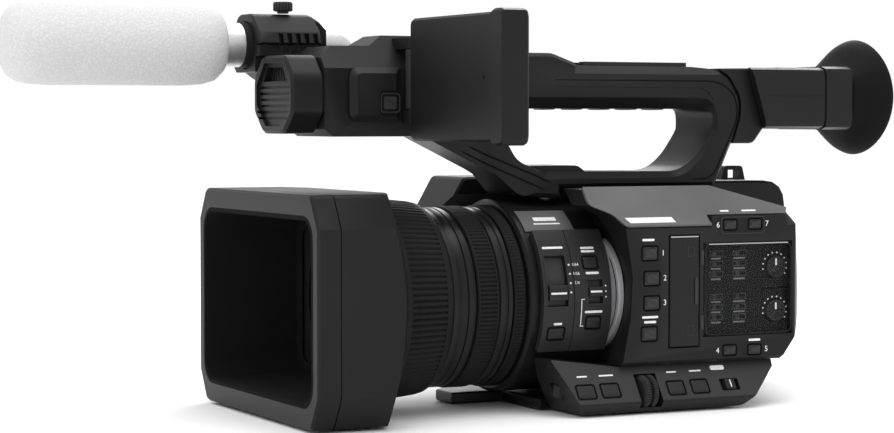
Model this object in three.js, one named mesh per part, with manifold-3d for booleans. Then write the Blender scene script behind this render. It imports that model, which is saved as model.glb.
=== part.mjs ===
// Handheld camcorder with a top handle, side monitor, viewfinder and front microphone.
// Millimetres. +Z is up, -Y is the way the lens looks, +X is the operator's left.
// The origin is the middle of the tripod face, so everything stands above Z = 0.
import * as THREE from 'three';
import { mergeVertices } from 'three/addons/utils/BufferGeometryUtils.js';
import Module from 'manifold-3d';

const wasm = await Module();
wasm.setup();

// ---------------------------------------------------------------- driving dimensions
const GAP = 0.3; // clearance between neighbouring pieces
const FAR = 400; // longer than the whole object, for cutting shapes
const DEG = Math.PI / 180;

const LENS_Z = 48; // height of the optical axis
const HOOD = { front: -150, back: -107, halfWidth: 68, topHalfWidth: 60, halfHeight: 47.3, cornerRise: 13.5 };
const HOOD_MOUTH = { halfWidth: 62, halfHeight: 38.2, throatHalfWidth: 44, throatHalfHeight: 34, corner: 11 };
const BARREL = { bore: 31, tube: 35.2, collar: 38.5, front: -106.5, back: -20 };
const FOCUS_RING = { front: -100, back: -77, frontRadius: 44, backRadius: 41 };
const ZOOM_RING = { front: -64.5, back: -54.5, radius: 39.8 };
const IRIS_RING = { front: -47, back: -41.6, radius: 40 };
const HOUSING = { front: -41.2, back: -3, radius: 42.5 };
const PANEL = { front: -36.5, back: -3.5, inner: 42.8, outer: 45.8, low: -29 * DEG, high: 41 * DEG };
const TRIM = { radius: 51.6, low: -30 * DEG, high: 36 * DEG, x: 26, z: 50, curve: 25.6 };

const BODY = { left: 58, right: -38, bottom: 20, crease: 79, top: 95.3, ridge: 38, rear: 88 };
const STRIP = { inner: 32, shoulder: 52.5, edge: 64, edgeHeight: 5, bottom: 0.4, top: 19.6 };
const STRIP_TILT = Math.atan2(STRIP.edge - STRIP.shoulder, 22 - STRIP.edgeHeight);
const PLATE = { thickness: 5, halfWidth: 31.5, front: -56, back: 54 };
const GRIP = { inner: -38.3, outer: -68, front: -2, back: 86, bottom: 16, top: 84 };
const HANDLE = {
  halfWidth: 17.6, barTop: 149.3, barBottom: 130.3, railTop: 102.2, railBottom: 95.6, chamfer: 3.6, flare: 5,
  legHalfWidth: 10.5,
};
const HEAD = { front: -142, back: -127, halfWidth: 21.5, bottom: 119.5, top: 152.5 };
const SHOE = { front: 2, back: 55, halfWidth: 11.5, floor: 148.2, top: 151.2 };

const MONITOR = {
  hingeX: 25, hingeY: -86.8, axisZ: 142.1, inner: 30, outer: 116.2, halfHeight: 26.8, halfDepth: 6,
};
const EAR = { half: 4.5, corner: 4.3, levels: [[124, 129.7], [155.3, 160]] };
const FINDER = {
  pivotY: 90, pivotZ: 141, halfWidth: 22, bottom: 121.2, top: 149.4, tubeBack: 124, cupZ: 136,
};
const MICROPHONE = {
  x: -36, z: 157.8, radius: 9.6, clampBore: 10.4, foam: 18, clampFront: -140.4, clampBack: -106.5,
  screwY: -124.6,
};
const DOOR = { face: 58.2, thickness: 2 };
const BUTTON = { proud: 0.7, body: 2.2, pocket: 2.6, clearance: 0.35 };

// ---------------------------------------------------------------- materials
const surface = (color, roughness, metalness) => new THREE.MeshStandardMaterial({
  color, roughness, metalness,
});
const plastic = (color, roughness = 0.6) => surface(color, roughness, 0);
const metal = (color, roughness = 0.35) => surface(color, roughness, 1);
const CHARCOAL = plastic(0x232323);
const GREY_PANEL = plastic(0x6a6a6a, 0.55);
const DARK_PANEL = plastic(0x2c2c2c);
const BUTTON_PLASTIC = plastic(0x303030, 0.5);
const RUBBER = plastic(0x161616, 0.85);
const SMOKED = plastic(0x1b1b1b, 0.1);
const GLASS = plastic(0x0d1622, 0.05);
const FOAM = plastic(0xe4e4e4, 0.95);
const PALE_METAL = metal(0xcfcfcf);
const BRIGHT_TRIM = metal(0xb8b8b8, 0.3);
const STEEL = metal(0x8a8a8a);
const CIRCUIT = plastic(0x1f4a2c, 0.5);
const RED_BUTTON = plastic(0xa01818, 0.4);

// ---------------------------------------------------------------- shape helpers
const AXIS_X = new THREE.Vector3(1, 0, 0);
const AXIS_Y = new THREE.Vector3(0, 1, 0);
const AXIS_Z = new THREE.Vector3(0, 0, 1);
const ALONG_X = new THREE.Matrix4().makeBasis(AXIS_Y, AXIS_Z, AXIS_X);
const ALONG_Y = new THREE.Matrix4().makeBasis(AXIS_X, AXIS_Z, AXIS_Y.clone().negate());

// A closed outline. Each corner is [u, v] or [u, v, radius], and a radius rounds it.
function outline(corners, path = new THREE.Shape()) {
  const count = corners.length;
  for (let i = 0; i < count; i += 1) {
    const here = new THREE.Vector2(corners[i][0], corners[i][1]);
    const before = new THREE.Vector2(...corners[(i + count - 1) % count].slice(0, 2));
    const after = new THREE.Vector2(...corners[(i + 1) % count].slice(0, 2));
    const radius = corners[i][2] ?? 0;
    const arrive = here.clone().add(before.sub(here).setLength(radius));
    const leave = here.clone().add(after.sub(here).setLength(radius));
    if (i === 0) path.moveTo(arrive.x, arrive.y);
    else path.lineTo(arrive.x, arrive.y);
    if (radius > 0) path.quadraticCurveTo(here.x, here.y, leave.x, leave.y);
  }
  path.closePath();
  return path;
}

function rectangle(u0, u1, v0, v1, radius = 0) {
  return outline([[u0, v0, radius], [u1, v0, radius], [u1, v1, radius], [u0, v1, radius]]);
}

function circle(u, v, radius) {
  const path = new THREE.Shape();
  path.absarc(u, v, radius, 0, 2 * Math.PI);
  return path;
}

// A slab from local z = low to high, with its rim chamfered by bevel.
function slab(shape, low, high, bevel = 0, curveSegments = 4) {
  const geometry = new THREE.ExtrudeGeometry(shape, {
    depth: high - low - 2 * bevel,
    bevelEnabled: bevel > 0,
    bevelThickness: bevel,
    bevelSize: bevel,
    bevelOffset: -bevel,
    bevelSegments: 1,
    curveSegments,
  });
  return geometry.translate(0, 0, low + bevel);
}

const slabX = (shape, x0, x1, bevel, turns) => slab(shape, x0, x1, bevel, turns).applyMatrix4(ALONG_X);
const slabY = (shape, y0, y1, bevel, turns) => slab(shape, -y1, -y0, bevel, turns).applyMatrix4(ALONG_Y);
const slabZ = slab;

function block(x0, x1, y0, y1, z0, z1) {
  const geometry = new THREE.BoxGeometry(x1 - x0, y1 - y0, z1 - z0);
  return geometry.translate((x0 + x1) / 2, (y0 + y1) / 2, (z0 + z1) / 2);
}

// A turned piece around a line along Y. The profile is [radius, y] corners.
function turned(profile, x, z, segments = 40) {
  const points = profile.map(([radius, y]) => new THREE.Vector2(radius, y));
  const onAxis = points[0].x === 0 && points[points.length - 1].x === 0;
  if (!onAxis) points.push(points[0].clone());
  return new THREE.LatheGeometry(points, segments).translate(x, 0, z);
}

// A straight pin of the given radius between two points on one axis.
function pin(axis, radius, low, high, u, v, segments = 24) {
  const geometry = new THREE.CylinderGeometry(radius, radius, high - low, segments);
  const middle = (low + high) / 2;
  if (axis === 'x') return geometry.rotateZ(-Math.PI / 2).translate(middle, u, v);
  if (axis === 'y') return geometry.translate(u, middle, v);
  return geometry.rotateX(Math.PI / 2).translate(u, v, middle);
}

// A geometry as a manifold solid: shared corners merged, and the faces turned outwards.
function solid(geometry) {
  const bare = geometry.clone();
  bare.deleteAttribute('normal');
  bare.deleteAttribute('uv');
  const merged = mergeVertices(bare, 1e-4);
  const place = merged.attributes.position;
  const index = merged.index.array;
  const corner = [new THREE.Vector3(), new THREE.Vector3(), new THREE.Vector3()];
  const faces = [];
  let volume = 0;
  for (let i = 0; i < index.length; i += 3) {
    const face = [index[i], index[i + 1], index[i + 2]];
    if (new Set(face).size === 3) {
      faces.push(face);
      corner.forEach((point, k) => point.fromBufferAttribute(place, face[k]));
      volume += corner[0].dot(corner[1].cross(corner[2]));
    }
  }
  if (volume < 0) faces.forEach((face) => face.reverse());
  return new wasm.Manifold(new wasm.Mesh({
    numProp: 3,
    vertProperties: Float32Array.from(place.array),
    triVerts: Uint32Array.from(faces.flat()),
  }));
}

const asSolid = (shape) => (shape.isBufferGeometry ? solid(shape) : shape);
const join = (first, ...others) => others.reduce((sum, next) => sum.add(asSolid(next)), asSolid(first));
const cut = (first, ...tools) => tools.reduce((rest, tool) => rest.subtract(asSolid(tool)), asSolid(first));
const common = (first, ...others) => others.reduce(
  (rest, next) => rest.intersect(asSolid(next)), asSolid(first),
);

function toGeometry(shape) {
  const mesh = asSolid(shape).getMesh();
  const geometry = new THREE.BufferGeometry();
  geometry.setAttribute('position', new THREE.BufferAttribute(Float32Array.from(mesh.vertProperties), 3));
  geometry.setIndex(Array.from(mesh.triVerts));
  geometry.computeVertexNormals();
  return geometry;
}

const camcorder = new THREE.Group();

function add(name, shape, material) {
  const mesh = new THREE.Mesh(toGeometry(shape), material);
  mesh.name = name;
  camcorder.add(mesh);
}

// A place on a surface: across and up lie in the surface, and out points away from it.
function seat(x, y, z, across, out) {
  const up = out.clone().cross(across);
  return new THREE.Matrix4().makeBasis(across, up, out).setPosition(x, y, z);
}

// A push button: a chamfered cap on its seat, and the pocket that it travels in.
function button(place, width, height) {
  const cap = slab(
    rectangle(-width / 2, width / 2, -height / 2, height / 2, 0.9),
    BUTTON.proud - BUTTON.body, BUTTON.proud, 0.35, 2,
  );
  const w = width / 2 + BUTTON.clearance;
  const h = height / 2 + BUTTON.clearance;
  const pocket = slab(rectangle(-w, w, -h, h, 1.1), -BUTTON.pocket, 3, 0, 2);
  return { cap: cap.applyMatrix4(place), pocket: pocket.applyMatrix4(place) };
}

// ---------------------------------------------------------------- lens
const aroundLens = (radius, y0, y1, segments = 48) => pin('y', radius, y0, y1, 0, LENS_Z, segments);
const keepOffBarrel = aroundLens(HOUSING.radius + GAP, -FAR, HOUSING.back + GAP, 64);
const keepOffTrim = aroundLens(TRIM.radius + GAP, -FAR, -GAP, 64);

function octagon(halfWidth, topHalfWidth, halfHeight, rise, grow = 0) {
  const z = LENS_Z;
  const corners = [
    [halfWidth, z - halfHeight + rise], [halfWidth, z + halfHeight - rise],
    [topHalfWidth, z + halfHeight, 2], [-topHalfWidth, z + halfHeight, 2],
    [-halfWidth, z + halfHeight - rise], [-halfWidth, z - halfHeight + rise],
    [-topHalfWidth, z - halfHeight, 2], [topHalfWidth, z - halfHeight, 2],
  ];
  return outline(corners.map(([x, h, r]) => [x + Math.sign(x) * grow, h + Math.sign(h - z) * grow, r]));
}

// The hollow of the hood is a rounded rectangle that narrows towards the lens.
function hoodHollow() {
  const { halfWidth, halfHeight, throatHalfWidth, throatHalfHeight, corner } = HOOD_MOUTH;
  const front = HOOD.front - 1;
  const back = HOOD.back - 4;
  const hollow = slabY(rectangle(-halfWidth, halfWidth, -halfHeight, halfHeight, corner), front, back, 0, 6);
  const place = hollow.attributes.position;
  for (let i = 0; i < place.count; i += 1) {
    if (place.getY(i) > (front + back) / 2) {
      place.setX(i, (place.getX(i) * throatHalfWidth) / halfWidth);
      place.setZ(i, (place.getZ(i) * throatHalfHeight) / halfHeight);
    }
  }
  return hollow.translate(0, 0, LENS_Z);
}

function lensHood() {
  const shell = slabY(
    octagon(HOOD.halfWidth, HOOD.topHalfWidth, HOOD.halfHeight, HOOD.cornerRise), HOOD.front, HOOD.back, 1, 2,
  );
  const roundedBack = turned(
    [[0, -200], [110, -200], [110, -135], [60, HOOD.back], [0, HOOD.back]], 0, LENS_Z, 64,
  );
  const seam = cut(
    slabY(octagon(HOOD.halfWidth, HOOD.topHalfWidth, HOOD.halfHeight, HOOD.cornerRise, 3), -140.2, -139.7),
    slabY(octagon(HOOD.halfWidth, HOOD.topHalfWidth, HOOD.halfHeight, HOOD.cornerRise, -0.5), -141, -139),
  );
  const mountBore = aroundLens(BARREL.tube + GAP, HOOD.back - 20, HOOD.back + 1);
  add('lens_hood', cut(common(shell, roundedBack), hoodHollow(), seam, mountBore), CHARCOAL);
}

function lensBarrel() {
  const { bore, tube, collar, front, back } = BARREL;
  add('lens_barrel', turned([
    [bore, front], [collar + 1, front], [collar + 1, FOCUS_RING.front - GAP], [tube, FOCUS_RING.front - GAP],
    [tube, FOCUS_RING.back + GAP], [collar, FOCUS_RING.back + GAP], [collar, ZOOM_RING.front - GAP],
    [tube, ZOOM_RING.front - GAP], [tube, ZOOM_RING.back + GAP], [collar, ZOOM_RING.back + GAP],
    [collar, IRIS_RING.front - GAP], [tube, IRIS_RING.front - GAP],
    [tube, back], [bore, back],
  ], 0, LENS_Z), CHARCOAL);
  add('front_lens_element', turned([
    [0, -101], [12, -100.2], [22, -98], [bore - GAP, -94], [bore - GAP, -90], [0, -88],
  ], 0, LENS_Z, 40), GLASS);
}

function lensRings() {
  const inner = BARREL.tube + GAP;
  const ring = (profile) => turned(profile, 0, LENS_Z);
  add('focus_ring', ring([
    [inner, FOCUS_RING.front], [FOCUS_RING.frontRadius - 1, FOCUS_RING.front],
    [FOCUS_RING.frontRadius, FOCUS_RING.front + 1], [FOCUS_RING.backRadius, FOCUS_RING.back - 0.8],
    [FOCUS_RING.backRadius - 0.8, FOCUS_RING.back], [inner, FOCUS_RING.back],
  ]), RUBBER);
  add('zoom_ring', ring([
    [inner, ZOOM_RING.front], [ZOOM_RING.radius - 0.6, ZOOM_RING.front],
    [ZOOM_RING.radius, ZOOM_RING.front + 0.6], [ZOOM_RING.radius, ZOOM_RING.back - 0.6],
    [ZOOM_RING.radius - 0.6, ZOOM_RING.back], [inner, ZOOM_RING.back],
  ]), RUBBER);
  add('iris_ring', ring([
    [inner, IRIS_RING.front], [IRIS_RING.radius - 0.6, IRIS_RING.front],
    [IRIS_RING.radius, IRIS_RING.front + 0.6], [IRIS_RING.radius, IRIS_RING.back],
    [inner, IRIS_RING.back],
  ]), RUBBER);
}

// A curved plate around the lens axis, between two radii and two angles up from +X.
function curvedPlate(inner, outer, low, high, y0, y1, segments = 6) {
  const shape = new THREE.Shape();
  shape.absarc(0, LENS_Z, outer, low, high, false);
  shape.absarc(0, LENS_Z, inner, high, low, true);
  shape.closePath();
  return slabY(shape, y0, y1, 0, segments);
}

function onBarrel(angle, y) {
  const out = new THREE.Vector3(Math.cos(angle), 0, Math.sin(angle));
  return seat(PANEL.outer * out.x, y, LENS_Z + PANEL.outer * out.z, AXIS_Y, out);
}

function barrelControls() {
  const { front, back, radius } = HOUSING;
  add('barrel_housing', turned([
    [BARREL.tube + GAP, front], [radius - 1.2, front], [radius, front + 1.2], [radius, back],
    [BARREL.tube + GAP, back],
  ], 0, LENS_Z, 64), CHARCOAL);

  const controls = {
    iris_button: button(onBarrel(-18 * DEG, -29.6), 7.5, 5),
    focus_assist_button: button(onBarrel(20.5 * DEG, -12.6), 6.5, 5),
    push_auto_button: button(onBarrel(-12.5 * DEG, -12), 6.5, 5),
  };
  const slotFloor = PANEL.inner + 0.5;
  const filterSlot = curvedPlate(slotFloor, PANEL.outer + 2, -3 * DEG, 25 * DEG, -34.6, -24.6);
  const focusSlot = curvedPlate(slotFloor, PANEL.outer + 2, -2 * DEG, 11 * DEG, -15, -7.6);
  const plate = curvedPlate(PANEL.inner, PANEL.outer, PANEL.low, PANEL.high, PANEL.front, PANEL.back);
  const pockets = Object.values(controls).map((control) => control.pocket);
  add('barrel_panel', cut(plate, filterSlot, focusSlot, ...pockets), DARK_PANEL);
  Object.entries(controls).forEach(([name, control]) => add(name, control.cap, BUTTON_PLASTIC));

  const slider = (low, high, y0, y1) => curvedPlate(
    slotFloor + GAP, PANEL.outer + 0.9, low * DEG, high * DEG, y0, y1, 2,
  );
  add('nd_filter_slider', slider(0.5, 8.5, -34, -25.2), BUTTON_PLASTIC);
  add('focus_mode_switch', slider(2, 7, -14.5, -8.1), BUTTON_PLASTIC);

  // The trim ring stands out most at the middle and runs out to nothing above and below.
  const crescent = common(
    curvedPlate(PANEL.inner, TRIM.radius, TRIM.low, TRIM.high, PANEL.back + GAP, -0.6, 10),
    pin('y', TRIM.curve, -10, 10, TRIM.x, TRIM.z, 72),
  );
  add('bezel_trim', crescent, BRIGHT_TRIM);
}

// ---------------------------------------------------------------- body
// Side outlines of the body are [y, z] corners, and its cross-sections are [x, z] corners.
const leftSide = outline([
  [-5, BODY.bottom], [-1, 40], [0, 58], [-3.4, BODY.crease], [-6.8, 84.6], [-16, 88.7], [-13.8, BODY.top],
  [48, BODY.top],
  [82.3, 85.3], [84.6, 75.4, 4], [86.9, 60, 5], [87.5, 49.4, 5], [87.2, 35, 4], [76, BODY.bottom],
]);

// The grey top flank lies on the slope from the crease up to the ridge.
const slope = new THREE.Vector2(BODY.ridge - BODY.left, BODY.top - BODY.crease).normalize();
const FLANK_THICKNESS = 1.2;
const flankOut = [slope.y * FLANK_THICKNESS, -slope.x * FLANK_THICKNESS];

function wallSeat(y, z) {
  return seat(BODY.left, y, z, AXIS_Y, AXIS_X);
}

const sideButtons = {
  user_button_1: button(wallSeat(8.4, 68.1), 7.2, 5.6),
  user_button_2: button(wallSeat(9.4, 57.3), 7.2, 5.6),
  user_button_3: button(wallSeat(9.4, 46.7), 7.2, 5.6),
  display_button: button(wallSeat(8.2, 33.5), 7.2, 5.6),
  user_button_4: button(wallSeat(49, 24.8), 6.2, 4),
  user_button_5: button(wallSeat(61.8, 24.6), 6.2, 4),
  user_button_6: button(wallSeat(49, 79.6), 6.2, 4),
  user_button_7: button(wallSeat(61.8, 79.8), 6.2, 4),
};
const CARD_DOOR = { front: 18.3, back: 33.2, bottom: 27.2, top: 75.4 };
const AUDIO_DOOR = { front: 36, back: 81, bottom: 31.5, top: 71.7 };
const AUDIO_KNOBS = { y: 74.6, radius: 5.2, heights: [60.6, 41.1], recess: 6 };

function leftCover() {
  const { left, bottom, crease, top, ridge } = BODY;
  const section = outline([
    [GAP / 2, bottom], [left - 1.5, bottom], [left, bottom + 1.5], [left, crease], [ridge, top],
    [GAP / 2, top],
  ]);
  const plan = outline([[GAP / 2, -20], [left, -20], [left, 83], [52, 88.5], [GAP / 2, 88.5]]);
  const raisedNotch = block(50, left, 39.5, 78.5, crease - 2, 83.6);
  const shell = join(
    common(slabY(section, -20, 100), slabX(leftSide, 0, 70), slabZ(plan, 0, 120)),
    raisedNotch,
  );
  const hollowSection = outline([[-1, 23], [48, 23], [48, 76], [36, 92], [-1, 92]]);
  const hollowSide = outline([[3, 23], [3, 92], [46, 92], [80, 82], [83, 50], [82.5, 37], [72.5, 23]]);
  const hollow = common(slabY(hollowSection, -20, 100), slabX(hollowSide, -1, 60));
  const cardRecess = block(
    DOOR.face - DOOR.thickness - 0.6, 70, CARD_DOOR.front - 0.5, CARD_DOOR.back + 0.4,
    CARD_DOOR.bottom - 0.4, CARD_DOOR.top + 0.4,
  );
  const audioRecess = block(
    left - AUDIO_KNOBS.recess, 70, AUDIO_DOOR.front - 0.6, AUDIO_DOOR.back + 0.4,
    AUDIO_DOOR.bottom - 0.4, AUDIO_DOOR.top + 0.4,
  );
  const pockets = Object.values(sideButtons).map((control) => control.pocket);
  add('left_cover', cut(shell, hollow, cardRecess, audioRecess, keepOffTrim, ...pockets), CHARCOAL);
  Object.entries(sideButtons).forEach(([name, control]) => add(name, control.cap, BUTTON_PLASTIC));
}

function topFlank() {
  const lift = GAP / FLANK_THICKNESS;
  const foot = [BODY.left + flankOut[0] * lift, BODY.crease + flankOut[1] * lift];
  const head = [BODY.ridge + flankOut[0] * lift, BODY.top + flankOut[1] * lift];
  const outwards = ([x, z]) => [x + flankOut[0], z + flankOut[1]];
  const section = outline([foot, outwards(foot), outwards(head), head]);
  const side = outline([
    [-3.6, 79.4, 2], [-7, 84.8, 2], [-16.2, 88.9, 2], [-14, 96.9], [48, 96.9], [83, 86.6], [80.5, 84],
    [39.2, 84], [39.2, 79.4],
  ]);
  add('top_flank', common(slabY(section, -20, 100), slabX(side, 30, 70)), GREY_PANEL);
}

function doors() {
  const inner = DOOR.face - DOOR.thickness;
  const door = ({ front, back, bottom, top }, radius) => slabX(
    outline([[front, bottom, 0.8], [back, bottom, radius], [back, top, radius], [front, top, 0.8]]),
    inner, DOOR.face, 0.4,
  );
  add('sd_card_door', door(CARD_DOOR, 0.8), DARK_PANEL);
  add('audio_cover', door(AUDIO_DOOR, 4), SMOKED);
  AUDIO_KNOBS.heights.forEach((height, i) => {
    const base = BODY.left - AUDIO_KNOBS.recess + GAP;
    const knob = pin('x', AUDIO_KNOBS.radius, base, inner - GAP, AUDIO_KNOBS.y, height, 32);
    const slot = block(
      inner - GAP - 0.8, inner, AUDIO_KNOBS.y - 0.6, AUDIO_KNOBS.y + 0.6, height, height + 6,
    );
    add(`audio_level_knob_${i + 1}`, cut(knob, slot), BUTTON_PLASTIC);
  });
}

// The right cover carries the microphone input block and the battery bay behind the body.
const BAY = { right: -37, left: -4, front: 90, bottom: 24, top: 93, rear: 117 };

function rightCover() {
  const { bottom, top, right } = BODY;
  const shell = common(
    slabY(outline([[-GAP / 2, bottom], [right, bottom], [right, 86], [-30, top], [-GAP / 2, top]]), -20, 90),
    slabX(outline([
      [-2, bottom], [0, 58], [-2.5, 79], [-20, 89], [-20, top], [90, top], [90, bottom],
    ]), -60, 0),
  );
  const rear = slabX(
    outline([[60, bottom], [60, 97], [BAY.rear, 97, 12], [BAY.rear + 1, bottom, 5]]), right - 3, -GAP / 2, 1,
  );
  const underside = common(
    slabY(outline([
      [-36, 5.3], [31.7, 5.3], [31.7, 19.7], [-GAP / 2, 19.7], [-GAP / 2, 21], [-36, 21],
    ]), -2.4, 90),
    slabX(outline([[-2.4, 5.3], [58, 5.3], [84, 19.7], [84, 21], [-2.4, 21]]), -60, 60),
  );
  const rearClear = block(-60, 10, 0, 88.9, 0, top - 0.5);
  const inputs = slabX(outline([
    [-6, 56, 2], [-30, 56, 4], [-47, 84, 2], [-38, 99.5, 2], [-8, 99.5, 3], [-2.8, 90],
  ]), -62, -28, 1);
  const lug = cut(
    slabX(outline([[98, 91], [101, 103.4, 1.5], [111, 103.4, 1.5], [114, 91]]), -34, -28),
    block(-40, -20, 103, 109.5, 97.6, 101.4),
  );
  const hollow = common(
    slabY(outline([[1, 23], [-35, 23], [-35, 84], [-28, 92], [1, 92]]), 3, 86),
    block(-50, 5, 3, 86, 20, 95),
  );
  const bay = block(BAY.right, BAY.left, BAY.front, BAY.rear + 5, BAY.bottom, BAY.top);
  const sockets = [68, 88].map((z) => pin('x', 8.6, -70, -50, -24.5, z, 24));
  const handleSeat = [
    block(-HANDLE.halfWidth - GAP, 1, -60, -12.5, 90.9, 120),
    block(-HANDLE.halfWidth - GAP, 1, -20, 69, top, 120),
  ];
  add('right_cover', cut(
    join(shell, underside, cut(rear, rearClear), inputs, lug),
    hollow, bay, keepOffTrim, ...sockets, ...handleSeat,
  ), CHARCOAL);

  const battery = slabX(outline([
    [BAY.front + GAP, BAY.bottom + GAP], [BAY.front + GAP, BAY.top - GAP],
    [BAY.rear - 1, BAY.top - GAP, 6], [BAY.rear - 0.5, BAY.bottom + GAP, 4],
  ]), BAY.right + GAP, BAY.left - GAP, 1);
  add('battery', battery, DARK_PANEL);
}

function insides() {
  const imager = join(
    block(-16, 14, 5, 8, 32, 64), block(-10, 10, 7, 30, 38, 58), block(-14, -1, 29, 31, 34, 62),
  );
  add('image_sensor_block', imager, STEEL);
  add('main_circuit_board', block(44, 45.6, 8, 74, 28, 72), CIRCUIT);
}

function base() {
  const { thickness, halfWidth, front, back } = PLATE;
  const plate = slabZ(outline([
    [-halfWidth, front + 12], [-20, front], [-4, front], [-4, -31], [halfWidth, -31],
    [halfWidth, back, 6], [-halfWidth, back, 6],
  ]), 0, thickness, 0.6);
  const sockets = [[-16, 3.2], [16, 4.8]].map(([y, radius]) => pin('z', radius, -1, 4.5, 0, y, 24));
  add('tripod_plate', cut(plate, ...sockets), STEEL);
}

// The control strip leans out under the left side. Its seats lie on that leaning face.
const stripOut = new THREE.Vector3(Math.cos(STRIP_TILT), 0, Math.sin(STRIP_TILT));

function stripSeat(y, z) {
  const x = STRIP.edge - (z - STRIP.edgeHeight) * Math.tan(STRIP_TILT);
  return seat(x, y, z, AXIS_Y, stripOut);
}

const DIAL = { x: 57.3, y: 6.6, z: 8.6, radius: 7.2, halfWidth: 3.6 };
const MODE_SWITCH = { y: 47.5, z: 10.2, travel: 2, halfWidth: 2.4 };

function controlStrip() {
  const section = outline([
    [STRIP.inner, STRIP.bottom], [60.5, STRIP.bottom, 1.5], [STRIP.edge, STRIP.edgeHeight, 1],
    [STRIP.edge - (23.7 - STRIP.edgeHeight) * Math.tan(STRIP_TILT), 23.7], [36, 23.7], [STRIP.inner, 14],
  ]);
  const side = outline([
    [-36.5, 23.7, 1], [-28, 4, 2], [-25.5, STRIP.bottom], [53.5, STRIP.bottom, 2], [72.5, 16.8],
    [73, STRIP.top], [-5.6, STRIP.top],
  ]);
  const controls = {
    gain_button: button(stripSeat(-24, 10.3), 8.2, 6),
    white_balance_button: button(stripSeat(-12.2, 10.4), 8.2, 6),
    menu_button: button(stripSeat(20.2, 10), 7.8, 6),
    shutter_button: button(stripSeat(32.2, 10.1), 7.8, 6),
    auto_white_balance_button: button(seat(46, -29.9, 9.5, AXIS_X, AXIS_Y.clone().negate()), 7.6, 6.4),
  };
  const dialWell = pin('y', DIAL.radius + 0.6, DIAL.y - 5.4, DIAL.y + 5.4, DIAL.x, DIAL.z, 32);
  const slotPlace = stripSeat(MODE_SWITCH.y, MODE_SWITCH.z);
  const reach = MODE_SWITCH.halfWidth + MODE_SWITCH.travel + GAP;
  const slot = slab(rectangle(-reach, reach, -2.9, 2.9, 0.8), -2.6, 3, 0, 2).applyMatrix4(slotPlace);
  const pockets = Object.values(controls).map((control) => control.pocket);
  add('control_strip', cut(
    common(slabY(section, -60, 90), slabX(side, 0, 90)), keepOffBarrel, dialWell, slot, ...pockets,
  ), DARK_PANEL);
  Object.entries(controls).forEach(([name, control]) => add(name, control.cap, BUTTON_PLASTIC));

  const dial = pin('y', DIAL.radius, DIAL.y - DIAL.halfWidth, DIAL.y + DIAL.halfWidth, DIAL.x, DIAL.z, 32);
  add('menu_dial', dial, BUTTON_PLASTIC);
  const knob = slab(
    rectangle(-MODE_SWITCH.halfWidth, MODE_SWITCH.halfWidth, -2.5, 2.5, 0.6), -2.3, 0.9, 0.3, 2,
  );
  add('auto_manual_switch', knob.applyMatrix4(slotPlace), BUTTON_PLASTIC);
}

function handGrip() {
  const { inner, outer, front, back, bottom, top } = GRIP;
  const section = outline([
    [inner, bottom], [-58, bottom, 8], [outer, 36, 10], [outer, 72, 8], [-58, top, 6], [inner, top],
  ]);
  const side = outline([
    [front, 20, 5], [front, top, 6], [back, top, 8], [back + 2, 30, 10], [74, bottom - 0.1, 4],
  ]);
  const recordSeat = seat(-54, back + 0.7, 68, AXIS_X.clone().negate(), AXIS_Y);
  const record = {
    cap: slab(circle(0, 0, 5.5), -1.6, 1.2, 0.4, 8).applyMatrix4(recordSeat),
    pocket: slab(circle(0, 0, 6), -2.6, 6, 0, 8).applyMatrix4(recordSeat),
  };
  const rockerWell = block(-61, -46.4, 13, 43, top - 2.4, top + 5);
  add('hand_grip', cut(
    common(slabY(section, -20, 110), slabX(side, -90, 0)), record.pocket, rockerWell,
  ), CHARCOAL);
  add('grip_record_button', record.cap, RED_BUTTON);
  add('grip_zoom_rocker', slabX(outline([
    [13.6, 84.4], [14, 87.4, 1.2], [28, 85.6], [42, 87.4, 1.2], [42.4, 84.4], [28, 82.2],
  ]), -60.6, -46.8), BUTTON_PLASTIC);

  const strapLoop = outline([
    [-62.4, -13], [-68, -13, 3], [-84, 2, 8], [-90, 24, 12], [-90, 62, 16], [-80, 93, 12], [-56, 95],
    [-56, 90.5], [-76, 88.5, 9], [-86, 60, 14], [-86, 26, 12], [-80, 5, 8], [-66, -8, 3], [-62.4, -8],
  ]);
  add('hand_strap', slabZ(strapLoop, 36, 70, 0, 3), RUBBER);
}

// ---------------------------------------------------------------- handle
// The finger window is flared: deeply under the bar, less over the rail, and hardly at its ends.
function fingerWindow() {
  const { halfWidth: w, barBottom, railTop, flare } = HANDLE;
  const through = outline([
    [-33, 107, 4], [-22, railTop + 0.6, 3], [49, railTop, 6.5], [58.5, 109.5, 5], [66.6, 121, 5],
    [66.2, barBottom, 4], [-37, barBottom, 4], [-42, 124, 3],
  ]);
  const flared = outline([
    [-33, 108], [-20, railTop - 2.8], [50, railTop - 2.8, 8], [60.2, 108.6, 5], [68.2, 120.4],
    [67.4, barBottom + flare, 9], [-41, barBottom + flare], [-42, 124],
  ]);
  return [
    slabX(through, -w - 1, w + 1, 0, 5),
    slabX(flared, w - flare, w + flare + 0.2, flare, 5),
    slabX(flared, -w - flare - 0.2, -w + flare, flare, 5),
  ];
}

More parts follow.
